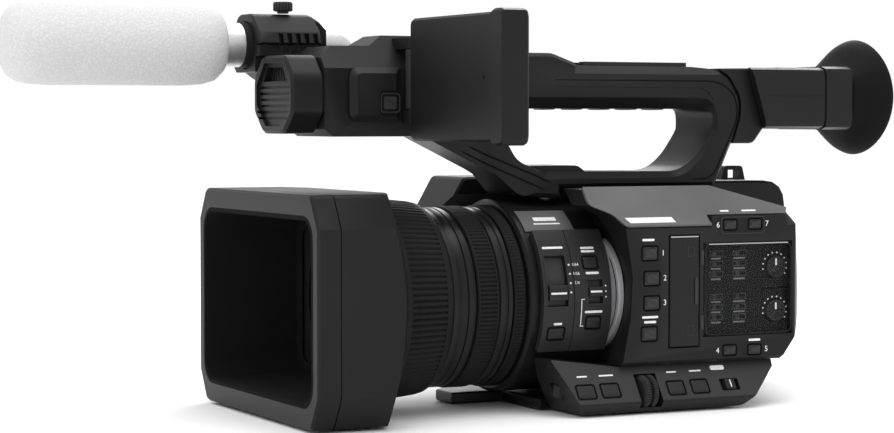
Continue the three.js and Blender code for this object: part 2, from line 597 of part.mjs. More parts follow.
function handle() {
  const { halfWidth: w, legHalfWidth: leg, barTop, railTop, railBottom } = HANDLE;
  const outside = outline([
    [-57.7, 154.6], [-17, 154.6, 2], [-2.2, barTop, 4], [56, barTop, 2], [67.6, 148.3, 4], [74.8, 144.6, 3],
    [80.5, 135.4, 3], [80.7, 127, 3], [77.4, 117.5], [68.6, 98.2, 2], [66.5, railBottom], [-12.8, railBottom],
    [-12.8, 91.2], [-32.5, 92.3, 3], [-41.8, 101.3], [-76.2, 118], [-57.7, 118],
  ]);
  const railPad = slabX(
    outline([[-33, railTop - 3], [-27, 105.2, 2], [-2, 105.2, 2], [6, railTop - 3]]), -13, 13,
  );
  const reach = HANDLE.chamfer + 1;
  const topEdges = [-1, 1].map((side) => slabY(outline([
    [side * (w + 1), barTop + 1], [side * (w - reach), barTop + 1], [side * (w + 1), barTop - reach],
  ]), -6, 90));
  const frame = join(
    cut(slabX(outside, -w, w, 1.6, 3), ...fingerWindow(), ...topEdges),
    railPad,
  );
  const shoeSeat = block(
    -SHOE.halfWidth - GAP, SHOE.halfWidth + GAP, SHOE.front - GAP, SHOE.back + GAP, SHOE.floor - 1.5, 160,
  );
  // The leg that runs down to the body narrows towards the front, under the wide bar.
  const legSides = [-1, 1].map((side) => slabZ(outline([
    [side * (w + 1), -22], [side * leg, -46], [side * leg, -100], [side * (w + 1), -100],
  ]), 80, 121));
  add('handle_frame', cut(
    frame, shoeSeat, ...legSides, aroundLens(HOUSING.radius + GAP, -60, 60, 64),
  ), CHARCOAL);

  const floor = block(-SHOE.halfWidth, SHOE.halfWidth, SHOE.front, SHOE.back, SHOE.floor - 1.2, SHOE.floor);
  const lips = [-1, 1].map((side) => slabY(outline([
    [side * SHOE.halfWidth, SHOE.floor - 0.5], [side * SHOE.halfWidth, SHOE.top],
    [side * 6.6, SHOE.top], [side * 6.6, SHOE.top - 0.9],
    [side * 9.6, SHOE.top - 0.9], [side * 9.6, SHOE.floor - 0.5],
  ]), SHOE.front, SHOE.back));
  const stop = block(-9.7, 9.7, SHOE.back - 2, SHOE.back, SHOE.floor - 0.5, SHOE.top - 0.9);
  add('accessory_shoe', join(floor, ...lips, stop), STEEL);
}

function frontHousing() {
  const section = outline([
    [-20, 118.3], [20, 118.3], [20, 147], [15, 153.5], [9, 161.3], [-9, 161.3], [-15, 153.5], [-20, 147],
  ]);
  const side = outline([
    [-126.7, 121.5], [-126.7, 151.5], [-121, 156.4], [-103, 156.8], [-96, 161.3], [-58, 161.3],
    [-58, 118.3], [-122.5, 118.3],
  ]);
  const sideBox = slabX(
    outline([[-116, 124.5, 5], [-116, 147.5, 5], [-93, 147.5], [-93, 124.5]]), 18, 24.2, 2.6,
  );
  const recess = slabX(outline([[-103, 127, 2], [-103, 138, 2], [-91, 138], [-91, 127]]), 23.2, 30);
  const { hingeX, hingeY, halfDepth, inner } = MONITOR;
  const ears = EAR.levels.map(([low, high]) => slabZ(outline([
    [8, hingeY - EAR.half], [hingeX + EAR.half, hingeY - EAR.half, EAR.corner],
    [hingeX + EAR.half, hingeY + EAR.half, EAR.corner], [8, hingeY + EAR.half],
  ]), low, high));
  // The closed monitor lies along the handle, in a bay cut into the housing side.
  const bayFront = hingeY + inner - hingeX - GAP;
  const monitorBay = block(hingeX - halfDepth - GAP, 40, bayFront, -50, 110, 170);
  add('handle_front_housing', cut(
    join(
      cut(common(slabY(section, -130, -50), slabX(side, -30, 30)), monitorBay),
      cut(sideBox, recess), ...ears,
    ),
    pin('z', 4.8, EAR.levels[0][1], EAR.levels[1][0], hingeX, hingeY, 24),
  ), CHARCOAL);
}

// The built-in microphones sit behind the ribs in the front of the head.
function microphoneHead() {
  const { front, back, halfWidth: w, bottom, top } = HEAD;
  const face = [
    [-w, bottom + 9, 2], [-w, top - 9, 3], [-w + 9, top, 3], [w - 9, top, 3],
    [w, top - 9, 3], [w, bottom + 9, 2], [w - 10, bottom, 2], [-w + 10, bottom, 2],
  ];
  const inset = (x, z, by) => [x - Math.sign(x) * by, z - Math.sign(z - 136) * by];
  const faceInside = outline(face.map(([x, z]) => inset(x, z, 3.2)));
  const slots = [];
  for (let z = bottom + 6; z < 141; z += 2.6) {
    slots.push(block(-w + 4, w - 4, front - 1, front + 2.6, z, z + 1.1));
  }
  const window = slabY(outline([[-14, 141.5], [14, 141.5], [9, 147.5], [-9, 147.5]]), front - 1, front + 4);
  add('microphone_head', cut(
    slabY(outline(face), front, back, 1.2, 2), slabY(faceInside, front - 1, front + 1.5), ...slots, window,
  ), CHARCOAL);
}

// ---------------------------------------------------------------- side monitor
function sideMonitor() {
  const { hingeX, hingeY, axisZ, inner, outer, halfHeight, halfDepth } = MONITOR;
  const post = pin('z', EAR.half, EAR.levels[0][1] + GAP, EAR.levels[1][0] - GAP, hingeX, hingeY, 24);
  add('monitor_hinge', post, DARK_PANEL);

  const front = hingeY - halfDepth;
  const back = hingeY + halfDepth;
  const low = axisZ - halfHeight;
  const high = axisZ + halfHeight;
  const main = slabY(rectangle(inner, outer - 10, low + 1.2, high - 1.2, 3), front + 0.6, back, 1, 2);
  const endCap = slabY(rectangle(outer - 12, outer, low, high, 3.5), front, back, 1, 2);
  const screenWell = block(inner + 6, outer - 6, back - 1.5, back + 5, low + 6, high - 6);
  add('monitor_housing', cut(join(main, endCap), screenWell), CHARCOAL);
  add('monitor_screen', block(
    inner + 6 + GAP, outer - 6 - GAP, back - 1.5 + GAP, back - 0.2, low + 6 + GAP, high - 6 - GAP,
  ), GLASS);
}

// ---------------------------------------------------------------- viewfinder
function viewfinder() {
  const { pivotY, pivotZ, halfWidth, bottom, top, tubeBack, cupZ } = FINDER;
  const knuckle = slabX(outline([
    [70, 148.7], [pivotY, pivotZ + 8], [pivotY + 8.4, pivotZ + 1, 4], [pivotY + 8.4, pivotZ - 6, 3],
    [93.5, 121.5], [88, 114.6, 2], [70, 114.6],
  ]), -16.8, 16.8, 0.8, 3);
  const handleBack = slabX(outline([
    [0, 160], [67.8, 149], [75.1, 145.1, 3], [81, 135.5, 3], [81.1, 127, 3], [77.8, 117.4], [70, 100],
    [0, 100],
  ]), -30, 30, 0, 3);
  add('viewfinder_mount', cut(knuckle, handleBack), CHARCOAL);

  const tube = common(
    slabX(outline([[84, top], [tubeBack, top], [tubeBack, bottom], [92.3, bottom], [85, 145]]), -30, 30),
    slabY(rectangle(-halfWidth, halfWidth, bottom, top, 4.5), 70, tubeBack, 0.5, 2),
  );
  const forkHalf = HANDLE.halfWidth + 0.4;
  const fork = block(-forkHalf, forkHalf, 60, 100.5, 100, 160);
  const lightPath = slabY(rectangle(-12, 12, cupZ - 8, cupZ + 8), 108, tubeBack + 5);
  const sleeve = slabY(
    rectangle(-halfWidth, halfWidth, bottom - 0.4, top + 0.6, 4.5), tubeBack, 139.5, 0.6, 2,
  );
  const sleeveSeam = cut(
    block(-30, 30, tubeBack, tubeBack + 0.6, 100, 170),
    slabY(
      rectangle(-halfWidth + 0.6, halfWidth - 0.6, bottom + 0.6, top - 0.6, 4),
      tubeBack - 1, tubeBack + 2, 0, 2,
    ),
  );
  const eyeTunnel = pin('y', 12, tubeBack, 145, 0, cupZ, 32);
  add('viewfinder_housing', cut(join(tube, sleeve), fork, lightPath, sleeveSeam, eyeTunnel), CHARCOAL);
  add('eyecup', turned([
    [12.4, 139.8], [16, 139.8], [21, 146], [27.4, 157], [27.8, 160], [27, 163.5], [25.4, 163.5], [25, 160],
    [18.6, 148], [14, 142.4], [12.4, 142.4],
  ], 0, cupZ, 32), RUBBER);
}

// ---------------------------------------------------------------- front microphone
function frontMicrophone() {
  const { x, z, radius, clampBore, foam, clampFront, clampBack, screwY } = MICROPHONE;
  const bore = pin('y', clampBore, -170, -80, x, z, 40);
  const nearStep = block(-25, -10, clampBack - 5.5, clampBack + 5, 140, 175);
  const grooves = [0, 1, 2, 3, 4].map((i) => {
    const y = clampFront + 9 + 4 * i;
    return block(-20.9, -10, y, y + 2, 154, 162.4);
  });
  const lower = slabY(outline([
    [-51, 149, 3], [-43, 142.5, 3], [-24, 142.5], [-20.3, 147], [-20.3, z - GAP / 2], [-51, z - GAP / 2],
  ]), clampFront, clampBack, 0.6);
  const clearHead = block(-24, 0, -160, -90, 100, 152.8);
  const frontSlope = slabX(outline([[-160, 130], [-160, 146], [-136, 146], [-131, 140]]), -60, 0);
  add('microphone_holder', cut(lower, bore, frontSlope, clearHead, nearStep, ...grooves), CHARCOAL);

  const upper = slabY(outline([
    [-51, z + GAP / 2], [-51, 164], [-44, 171.3, 3], [-29, 171.3, 3], [-19.5, 163.5],
    [-17.5, z + GAP / 2 + 0.5], [-20.3, z + GAP / 2],
  ]), clampFront, clampBack, 0.6);
  const rearSlope = slabX(outline([[-113.7, 175], [-113.7, 171.4], [-100, 158], [-100, 175]]), -60, 0);
  add('microphone_clamp', cut(upper, bore, rearSlope, nearStep, ...grooves), CHARCOAL);

  const knob = join(
    pin('z', 4.1, 172, 176.6, -31, screwY, 20), pin('z', 2.6, 171.3 + GAP, 173, -31, screwY, 16),
  );
  add('clamp_screw', knob, BUTTON_PLASTIC);

  add('microphone', turned([
    [0, -200], [radius, -200], [radius, -108], [7, -96], [4.5, -92], [0, -92],
  ], x, z, 28), PALE_METAL);
  add('windscreen', turned([
    [0, -249], [9, -248.5], [14.5, -245], [foam - 0.6, -238], [foam, -228], [foam, -164], [foam - 1, -157],
    [15, -151], [10.5, -148.8], [radius + GAP, -149], [radius + GAP, -200 - GAP], [0, -200 - GAP],
  ], x, z, 28), FOAM);
}

lensHood();
lensBarrel();
lensRings();
barrelControls();
leftCover();
topFlank();
doors();
rightCover();
insides();
base();
controlStrip();
handGrip();
handle();
frontHousing();
microphoneHead();
sideMonitor();
viewfinder();
frontMicrophone();

export default camcorder;
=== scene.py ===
from math import atan2, copysign, cos, hypot, pi, radians, sin, tan

import bmesh
import bpy
from mathutils import Matrix, Vector, noise


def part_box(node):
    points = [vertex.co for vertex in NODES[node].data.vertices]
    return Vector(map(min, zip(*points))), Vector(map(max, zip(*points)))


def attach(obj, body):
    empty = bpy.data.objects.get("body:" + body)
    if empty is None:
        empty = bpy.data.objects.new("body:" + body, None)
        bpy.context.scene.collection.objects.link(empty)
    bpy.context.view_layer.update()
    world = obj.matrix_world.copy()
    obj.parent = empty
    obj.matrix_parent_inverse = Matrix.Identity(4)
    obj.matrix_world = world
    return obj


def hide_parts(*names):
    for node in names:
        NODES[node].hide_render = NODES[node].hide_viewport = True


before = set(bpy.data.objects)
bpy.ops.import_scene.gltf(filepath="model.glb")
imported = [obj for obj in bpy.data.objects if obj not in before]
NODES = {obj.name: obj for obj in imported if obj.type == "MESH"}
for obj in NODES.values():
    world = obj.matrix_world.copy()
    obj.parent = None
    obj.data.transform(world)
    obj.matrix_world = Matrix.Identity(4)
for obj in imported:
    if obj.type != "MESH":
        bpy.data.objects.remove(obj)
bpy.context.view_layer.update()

BODY = "camera_body"

X = Vector((1, 0, 0))
Y = Vector((0, 1, 0))
Z = Vector((0, 0, 1))


def box_mm(node):
    """A CAD node's lowest and highest corners, in millimetres."""
    low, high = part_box(node)
    return low * 1000, high * 1000


def middle_mm(node):
    """The middle of a CAD node's box, in millimetres."""
    low, high = box_mm(node)
    return tuple((low[i] + high[i]) / 2 for i in range(3))


# ------------------------ driving dimensions
LENS_Z = middle_mm("lens_barrel")[2]
LENS_AXIS = (0, 0, LENS_Z)
PANEL_RADIUS = 45.8
HOUSING_RADIUS = box_mm("barrel_housing")[1].x
LABEL_RISE = 0.7
WALL_X = 58.0
DOOR_X = box_mm("sd_card_door")[1].x
PANEL_Z = 51.6
FLANK_FOOT = 79.0
FLANK_TOP = Vector((38.0, 95.3))
FLANK_LIFT = 1.5
STRIP_TILT = atan2(11.5, 17)
STRIP_EDGE = 64.0
STRIP_EDGE_Z = 5.0
HANDLE_X = box_mm("handle_frame")[1].x
LEG_X = 10.5
MIC_X, _, MIC_Z = middle_mm("windscreen")
MIC_AXIS = (MIC_X, 0, MIC_Z)
CUP_Z = middle_mm("eyecup")[2]
# Print stands this far off its surface, and a detail's foot is sunk this far into it.
PRINT_LIFT = 0.06
SUNK = -0.1
# The innermost radius of a turned shape, so that its points stay apart on the axis.
CORE = 0.02


# ------------------------ materials
def settle(node, values):
    for socket, value in values.items():
        node.inputs[socket].default_value = value


def principled(name, roughness, metallic=0.0, specular=0.5):
    """A material with its shader node. Uniform values sit on the shader's own sockets."""
    material = bpy.data.materials.new(name)
    material.use_nodes = True
    shader = material.node_tree.nodes["Principled BSDF"]
    settle(shader, {"Roughness": roughness, "Metallic": metallic, "Specular IOR Level": specular})
    return material, material.node_tree, shader


def object_noise(tree, scale, detail=3.0, stretch=(1, 1, 1)):
    """Noise in the object's own coordinates, in cycles per metre."""
    coords = tree.nodes.new("ShaderNodeTexCoord")
    mapping = tree.nodes.new("ShaderNodeMapping")
    settle(mapping, {"Scale": stretch})
    texture = tree.nodes.new("ShaderNodeTexNoise")
    settle(texture, {"Scale": scale, "Detail": detail})
    tree.links.new(coords.outputs["Object"], mapping.inputs["Vector"])
    tree.links.new(mapping.outputs["Vector"], texture.inputs["Vector"])
    return texture.outputs["Fac"]


def ramp(tree, factor, stops):
    """A colour ramp. Stops are (position, colour)."""
    node = tree.nodes.new("ShaderNodeValToRGB")
    elements = node.color_ramp.elements
    while len(elements) < len(stops):
        elements.new(0.5)
    for element, (position, colour) in zip(elements, stops):
        element.position = position
        element.color = (*colour, 1)
    tree.links.new(factor, node.inputs["Fac"])
    return node.outputs["Color"]


def tint(tree, shader, factor, stops):
    """Gives the shader its colour from a ramp."""
    tree.links.new(ramp(tree, factor, stops), shader.inputs["Base Color"])


def mix(tree, factor, first, second):
    """One colour mixed into another by a factor output."""
    node = tree.nodes.new("ShaderNodeMix")
    node.data_type = "RGBA"
    tree.links.new(factor, node.inputs["Factor"])
    for socket, value in ((node.inputs[6], first), (node.inputs[7], second)):
        if isinstance(value, bpy.types.NodeSocket):
            tree.links.new(value, socket)
        else:
            socket.default_value = (*value, 1)
    return node.outputs[2]


def map_range(tree, value, low, high, start=0.3, end=0.7):
    node = tree.nodes.new("ShaderNodeMapRange")
    settle(node, {"From Min": start, "From Max": end, "To Min": low, "To Max": high})
    tree.links.new(value, node.inputs["Value"])
    return node.outputs["Result"]


def bump(tree, shader, height, strength, distance=0.0001):
    node = tree.nodes.new("ShaderNodeBump")
    settle(node, {"Strength": strength, "Distance": distance})
    tree.links.new(height, node.inputs["Height"])
    tree.links.new(node.outputs["Normal"], shader.inputs["Normal"])


def scaled(colour, factor):
    return tuple(min(1.0, c * factor) for c in colour)


def moulded(name, colour, roughness, grain=2200, depth=0.18, wear_and_highlight=3.0, specular=0.15):
    """Moulded plastic or rubber: spark-eroded grain, slow colour drift, and edges painted lighter, partly as
    rubbed wear and partly as a painted highlight on the bevels.
    """
    material, tree, shader = principled(name, roughness, specular=specular)
    fine = object_noise(tree, grain)
    broad = object_noise(tree, 28, 2)
    drift = ramp(tree, broad, [(0.3, scaled(colour, 0.86)), (0.7, scaled(colour, 1.14))])
    # Edges found by pointiness are painted lighter: rubbed wear, and a painted highlight where the bevels
    # catch the light.
    geometry = tree.nodes.new("ShaderNodeNewGeometry")
    edge = map_range(tree, geometry.outputs["Pointiness"], 0, 0.5, 0.51, 0.6)
    tree.links.new(mix(tree, edge, drift, scaled(colour, wear_and_highlight)), shader.inputs["Base Color"])
    tree.links.new(map_range(tree, fine, roughness - 0.07, roughness + 0.08), shader.inputs["Roughness"])
    bump(tree, shader, fine, depth)
    return material


def strip_plastic_lit_face(name, dark, light):
    """The control strip: its leaning face is painted lighter than its front, back and underside, a painted
    highlight where it faces up to the light.
    """
    material, tree, shader = principled(name, 0.42, specular=0.22)
    geometry = tree.nodes.new("ShaderNodeNewGeometry")
    lean = tree.nodes.new("ShaderNodeVectorMath")
    lean.operation = "DOT_PRODUCT"
    lean.inputs[1].default_value = (cos(STRIP_TILT), 0, sin(STRIP_TILT))
    tree.links.new(geometry.outputs["True Normal"], lean.inputs[0])
    # Painted highlight: faces that lean up like the strip's face take the light colour.
    lit_face_mask = map_range(tree, lean.outputs["Value"], 0, 1, 0.93, 0.97)
    fine = object_noise(tree, 2200)
    drift = ramp(tree, object_noise(tree, 30, 2), [(0.3, scaled(light, 0.88)), (0.7, scaled(light, 1.12))])
    tree.links.new(mix(tree, lit_face_mask, dark, drift), shader.inputs["Base Color"])
    tree.links.new(map_range(tree, fine, 0.36, 0.5), shader.inputs["Roughness"])
    bump(tree, shader, fine, 0.15)
    return material


def metal(name, colour, roughness, stretch, scale=900, depth=0.08, metallic=1.0):
    """Metal: brushed where the noise is stretched in one direction, and blasted where it is even."""
    material, tree, shader = principled(name, roughness, metallic=metallic)
    grain = object_noise(tree, scale, 4, stretch)
    tint(tree, shader, grain, [(0.3, scaled(colour, 0.82)), (0.7, scaled(colour, 1.12))])
    tree.links.new(map_range(tree, grain, roughness - 0.08, roughness + 0.1), shader.inputs["Roughness"])
    bump(tree, shader, grain, depth)
    return material


def foam_material():
    """Open-cell foam: a field of small pits under a soft sheen."""
    material, tree, shader = principled("foam_cells", 0.95, specular=0.15)
    coords = tree.nodes.new("ShaderNodeTexCoord")
    cells = tree.nodes.new("ShaderNodeTexVoronoi")
    cells.inputs["Scale"].default_value = 900
    tree.links.new(coords.outputs["Object"], cells.inputs["Vector"])
    pits = cells.outputs["Distance"]
    tint(tree, shader, pits, [(0.05, (0.67, 0.67, 0.67)), (0.5, (0.56, 0.56, 0.56))])
    shader.inputs["Sheen Weight"].default_value = 0.1
    bump(tree, shader, pits, 0.5, 0.0004)
    return material


def webbing_material():
    """Woven nylon: crossed waves for the weave, with a soft sheen."""
    material, tree, shader = principled("nylon_webbing", 0.85, specular=0.2)
    coords = tree.nodes.new("ShaderNodeTexCoord")
    heights = []
    for direction in ("Z", "DIAGONAL"):
        wave = tree.nodes.new("ShaderNodeTexWave")
        wave.bands_direction = direction
        settle(wave, {"Scale": 260, "Distortion": 0.6})
        tree.links.new(coords.outputs["Object"], wave.inputs["Vector"])
        heights.append(wave.outputs["Fac"])
    weave = tree.nodes.new("ShaderNodeMath")
    weave.operation = "MULTIPLY"
    tree.links.new(heights[0], weave.inputs[0])
    tree.links.new(heights[1], weave.inputs[1])
    tint(tree, shader, weave.outputs["Value"], [(0.1, (0.008, 0.008, 0.009)), (0.8, (0.035, 0.035, 0.037))])
    shader.inputs["Sheen Weight"].default_value = 0.3
    bump(tree, shader, weave.outputs["Value"], 0.6, 0.0003)
    return material


def coated_glass():
    """Lens glass: dark, clear and with a faint coloured coating."""
    material, tree, shader = principled("coated_glass", 0.03, specular=0.6)
    haze = object_noise(tree, 60, 2)
    tint(tree, shader, haze, [(0.3, (0.008, 0.010, 0.022)), (0.7, (0.016, 0.012, 0.028))])
    tree.links.new(map_range(tree, haze, 0.02, 0.06), shader.inputs["Roughness"])
    settle(shader, {"Coat Weight": 1.0, "Coat Roughness": 0.02, "Coat Tint": (0.75, 0.82, 1.0, 1)})
    return material


def smoked_material():
    """The cover over the audio controls: almost clear, with smears in its gloss."""
    material, tree, shader = principled("smoked_cover", 0.12, specular=0.5)
    smear = object_noise(tree, 90, 3)
    tint(tree, shader, smear, [(0.3, (0.010, 0.010, 0.011)), (0.7, (0.016, 0.016, 0.017))])
    tree.links.new(map_range(tree, smear, 0.08, 0.2), shader.inputs["Roughness"])
    shader.inputs["Alpha"].default_value = 0.05
    return material


def screen_material():
    material, tree, shader = principled("screen_glass", 0.06, specular=0.6)
    smear = object_noise(tree, 45, 3)
    tint(tree, shader, smear, [(0.3, (0.004, 0.004, 0.006)), (0.7, (0.009, 0.009, 0.012))])
    tree.links.new(map_range(tree, smear, 0.04, 0.14), shader.inputs["Roughness"])
    shader.inputs["Coat Weight"].default_value = 0.6
    return material


def print_ink(name, low, high):
    """Screen-printed ink, with the slight unevenness of a printed edge."""
    material, tree, shader = principled(name, 0.5)
    tint(tree, shader, object_noise(tree, 1500, 2), [(0.35, (low,) * 3), (0.65, (high,) * 3)])
    return material


CHARCOAL = moulded("charcoal_shell", (0.0072, 0.0072, 0.0075), 0.42)
HOUSING = moulded("charcoal_satin", (0.0065, 0.0065, 0.0068), 0.32, grain=1500, depth=0.06)
# The flank is moulded in the shell's own plastic; its grey is painted light, lighter because it faces up to
# the light. The barrel's label plate uses this grey too.
FLANK_LIT_GREY = moulded("grey_flank", (0.088, 0.088, 0.090), 0.42, grain=2600, depth=0.1, wear_and_highlight=1.4)
PANEL = moulded("dark_panel", (0.017, 0.017, 0.0175), 0.42)
DOOR = moulded("door_gloss", (0.006, 0.006, 0.006), 0.24, grain=1800, depth=0.04)
# The buttons' edges are painted five times lighter: a painted highlight on their bevels, with rubbed wear.
BUTTON = moulded("button_plastic", (0.011, 0.011, 0.0115), 0.36, grain=3000, depth=0.06, wear_and_highlight=5.0)
RUBBER = moulded("ring_rubber", (0.0065, 0.0065, 0.0065), 0.60, grain=1400, depth=0.3, wear_and_highlight=2.4)
GRIP_SKIN = moulded("grip_skin", (0.009, 0.009, 0.009), 0.70, grain=650, depth=0.9, wear_and_highlight=1.8)
FLOCK = moulded("hood_flock", (0.004, 0.004, 0.004), 0.90, grain=3500, depth=0.5, wear_and_highlight=1.2, specular=0.1)
# The strip is one plastic; its leaning face gets the lighter colour as a painted highlight.
STRIP_LIT_FACE = strip_plastic_lit_face("control_strip", (0.009, 0.009, 0.0093), (0.026, 0.026, 0.027))
AUDIO_FLOOR = moulded("audio_floor", (0.004, 0.004, 0.0042), 0.40, depth=0.04, specular=0.1)
CUP = moulded("cup_rubber", (0.0038, 0.0038, 0.0038), 0.66, grain=1400, depth=0.3, wear_and_highlight=2.4, specular=0.1)
RED = moulded("record_red", (0.35, 0.012, 0.012), 0.30, grain=3000, depth=0.05, wear_and_highlight=1.3)
CIRCUIT = moulded("solder_mask", (0.012, 0.07, 0.025), 0.40, grain=400, depth=0.4, wear_and_highlight=1.6)
TRIM = metal("satin_trim", (0.40, 0.40, 0.41), 0.42, (1, 1, 30), metallic=0.4)
STEEL = metal("brushed_steel", (0.26, 0.26, 0.27), 0.38, (1, 24, 1))
BLACK_STEEL = metal("blackened_steel", (0.035, 0.035, 0.037), 0.40, (1, 24, 1))
MICROPHONE = metal("blasted_aluminium", (0.62, 0.62, 0.63), 0.42, (1, 1, 1), scale=2400, depth=0.2)
FOAM = foam_material()
WEBBING = webbing_material()
GLASS = coated_glass()
SMOKED = smoked_material()
SCREEN = screen_material()
WHITE = print_ink("white_print", 0.62, 0.80)
GREY_INK = print_ink("grey_print", 0.10, 0.16)


# ------------------------ mesh building
def new_object(name, data):
    """An object in the scene, for a mesh, light or camera."""
    obj = bpy.data.objects.new(name, data)
    bpy.context.scene.collection.objects.link(obj)
    return obj


def seat(origin, across, out):
    """A place on a surface: u runs across, n points out of it, and v is up between them."""
    out = out.normalized()
    up = out.cross(across).normalized()
    return Matrix((
        (across.x, up.x, out.x, origin[0]),
        (across.y, up.y, out.y, origin[1]),
        (across.z, up.z, out.z, origin[2]),
        (0, 0, 0, 1),
    ))


def wall(y, z, x=WALL_X):
    """A place on the left side wall."""
    return seat((x, y, z), Y, X)


def on_lens(angle, y, radius=PANEL_RADIUS):
    """A place on the barrel, at an angle in degrees up from +X."""
    a = radians(angle)
    out = Vector((cos(a), 0, sin(a)))
    return seat((radius * out.x, y, LENS_Z + radius * out.z), Y, out)


def on_strip(y, z):
    """A place on the leaning face of the control strip."""
    out = Vector((cos(STRIP_TILT), 0, sin(STRIP_TILT)))
    return seat((STRIP_EDGE - (z - STRIP_EDGE_Z) * tan(STRIP_TILT), y, z), Y, out)


def on_flank(y, up):
    """A place on the flank, whose grey is a painted highlight, a distance up its slope from the crease."""
    rise = Vector((FLANK_TOP.x - WALL_X, 0, FLANK_TOP.y - FLANK_FOOT)).normalized()
    out = Vector((rise.z, 0, -rise.x))
    return seat(Vector((WALL_X, y, FLANK_FOOT)) + rise * up + out * FLANK_LIFT, Y, out)


def rounded(width, height, radius, steps=5, u=0.0, v=0.0):
    """A rounded rectangle around (u, v), anticlockwise."""
    w, h = width / 2 - radius, height / 2 - radius
    points = []
    for k, (cu, cv) in enumerate(((w, h), (-w, h), (-w, -h), (w, -h))):
        for i in range(steps + 1):
            a = radians(90 * k + 90 * i / steps)
            points.append((u + cu + radius * cos(a), v + cv + radius * sin(a)))
    return points


def disc(radius, steps=24, u=0.0, v=0.0):
    return [
        (u + radius * cos(2 * pi * i / steps), v + radius * sin(2 * pi * i / steps))
        for i in range(steps)
    ]


class Shape:
    """A mesh put together from closed solids."""

    def __init__(self):
        self.verts = []
        self.faces = []

    def add(self, verts, faces):
        start = len(self.verts)
        self.verts += [Vector(v) for v in verts]
        self.faces += [[start + i for i in face] for face in faces]
        return self

    def rings(self, rings, closed=False):
        """Joins rings of equal length. Closed joins the last to the first. Otherwise both are capped."""
        n = len(rings[0])
        count = len(rings)
        faces = []
        for k in range(count if closed else count - 1):
            a, b = k * n, (k + 1) % count * n
            faces += [[a + i, a + (i + 1) % n, b + (i + 1) % n, b + i] for i in range(n)]
        if not closed:
            faces.append(list(range(n))[::-1])
            faces.append([(count - 1) * n + i for i in range(n)])
        return self.add([p for ring in rings for p in ring], faces)

    def prism(self, outline, place, low, high, chamfer=0.0):
        """A plate on a seat, from low to high, with its outer rim drawn in by a chamfer."""
        centre_u = sum(p[0] for p in outline) / len(outline)
        centre_v = sum(p[1] for p in outline) / len(outline)
        reach = max(hypot(p[0] - centre_u, p[1] - centre_v) for p in outline)
        shrink = 1 - chamfer / reach
        levels = [(low, 1.0), (high - chamfer, 1.0)] + ([(high, shrink)] if chamfer else [])
        return self.rings([
            [
                place @ Vector((centre_u + (u - centre_u) * s, centre_v + (v - centre_v) * s, n))
                for u, v in outline
            ]
            for n, s in levels
        ])

    def bar(self, width, height, place, radius=0.4, low=SUNK):
        """A printed bar, where the real object has a word."""
        return self.prism(rounded(width, height, radius, 3), place, low, PRINT_LIFT)

    def frame(self, outer, inner, place, low, high):
        """A flat frame between two outlines of the same number of points."""
        return self.rings([
            [place @ Vector((u, v, n)) for u, v in outline]
            for outline, n in ((outer, low), (outer, high), (inner, high), (inner, low))
        ], closed=True)

    def turned(self, profile, centre, axis=Y, segments=64, ripple=None):
        """Turns a closed (radius, along) profile about an axis. Ripple(angle, along) changes the radius."""
        side = Z if axis == Y else Y
        across = axis.cross(side)
        rings = []
        for i in range(segments):
            a = 2 * pi * i / segments
            out = across * cos(a) + side * sin(a)
            rings.append([
                Vector(centre) + axis * along + out * (r + (ripple(i, along) if ripple else 0))
                for r, along in profile
            ])
        return self.rings(rings, closed=True)

    def arc_plate(self, r0, r1, low, high, y0, y1, steps=12):
        """A curved plate round the lens axis, between two radii and two angles in degrees."""
        corners = ((r0, y0), (r1, y0), (r1, y1), (r0, y1))
        rings = []
        for i in range(steps + 1):
            a = radians(low + (high - low) * i / steps)
            rings.append([(r * cos(a), y, LENS_Z + r * sin(a)) for r, y in corners])
        return self.rings(rings)

    def tube(self, points, radius, sides=8):
        """A round bead along a line of points, with its ends drawn in."""
        points = [Vector(p) for p in points]
        turns = [2 * pi * i / sides for i in range(sides)]
        rings = []
        for k, point in enumerate(points):
            ahead = points[min(k + 1, len(points) - 1)] - points[max(k - 1, 0)]
            ahead.normalize()
            side = ahead.cross(X if abs(ahead.x) < 0.9 else Z).normalized()
            up = side.cross(ahead)
            r = radius * (0.4 if k in (0, len(points) - 1) else 1)
            rings.append([point + side * r * cos(a) + up * r * sin(a) for a in turns])
        return self.rings(rings)

    def text(self, words, size, place):
        """Numerals, centred on a seat and raised by the thickness of the print."""
        curve = bpy.data.curves.new("numeral", "FONT")
        curve.body = words
        curve.size = size
        curve.align_x = "CENTER"
        curve.align_y = "CENTER"
        curve.extrude = PRINT_LIFT / 2
        curve.resolution_u = 3
        letter = new_object("numeral", curve)
        bpy.context.view_layer.update()
        mesh = bpy.data.meshes.new_from_object(letter.evaluated_get(bpy.context.evaluated_depsgraph_get()))
        corners = [place @ (v.co + Vector((0, 0, PRINT_LIFT / 2))) for v in mesh.vertices]
        self.add(corners, [list(p.vertices) for p in mesh.polygons])
        bpy.data.objects.remove(letter)
        bpy.data.curves.remove(curve)
        bpy.data.meshes.remove(mesh)
        return self

    def piece(self, name, body, material, slot=None, replaces=(), bevel=0.0, angle=35, subdivide=0):
        """The finished object, riding on its body."""
        mesh = bpy.data.meshes.new(name)
        mesh.from_pydata([v / 1000 for v in self.verts], [], self.faces)
        mesh.validate()
        obj = new_object(name, mesh)
        outward(obj)
        mesh.materials.append(material)
        if subdivide:
            smooth = obj.modifiers.new("subdivide", "SUBSURF")
            smooth.levels = subdivide
            smooth.render_levels = subdivide
        if bevel:
            soften(obj, bevel, angle)
        mesh.shade_smooth()
        if not bevel:
            mesh.set_sharp_from_angle(angle=radians(angle))
        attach(obj, body)
        if replaces:
            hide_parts(*replaces)
        return obj


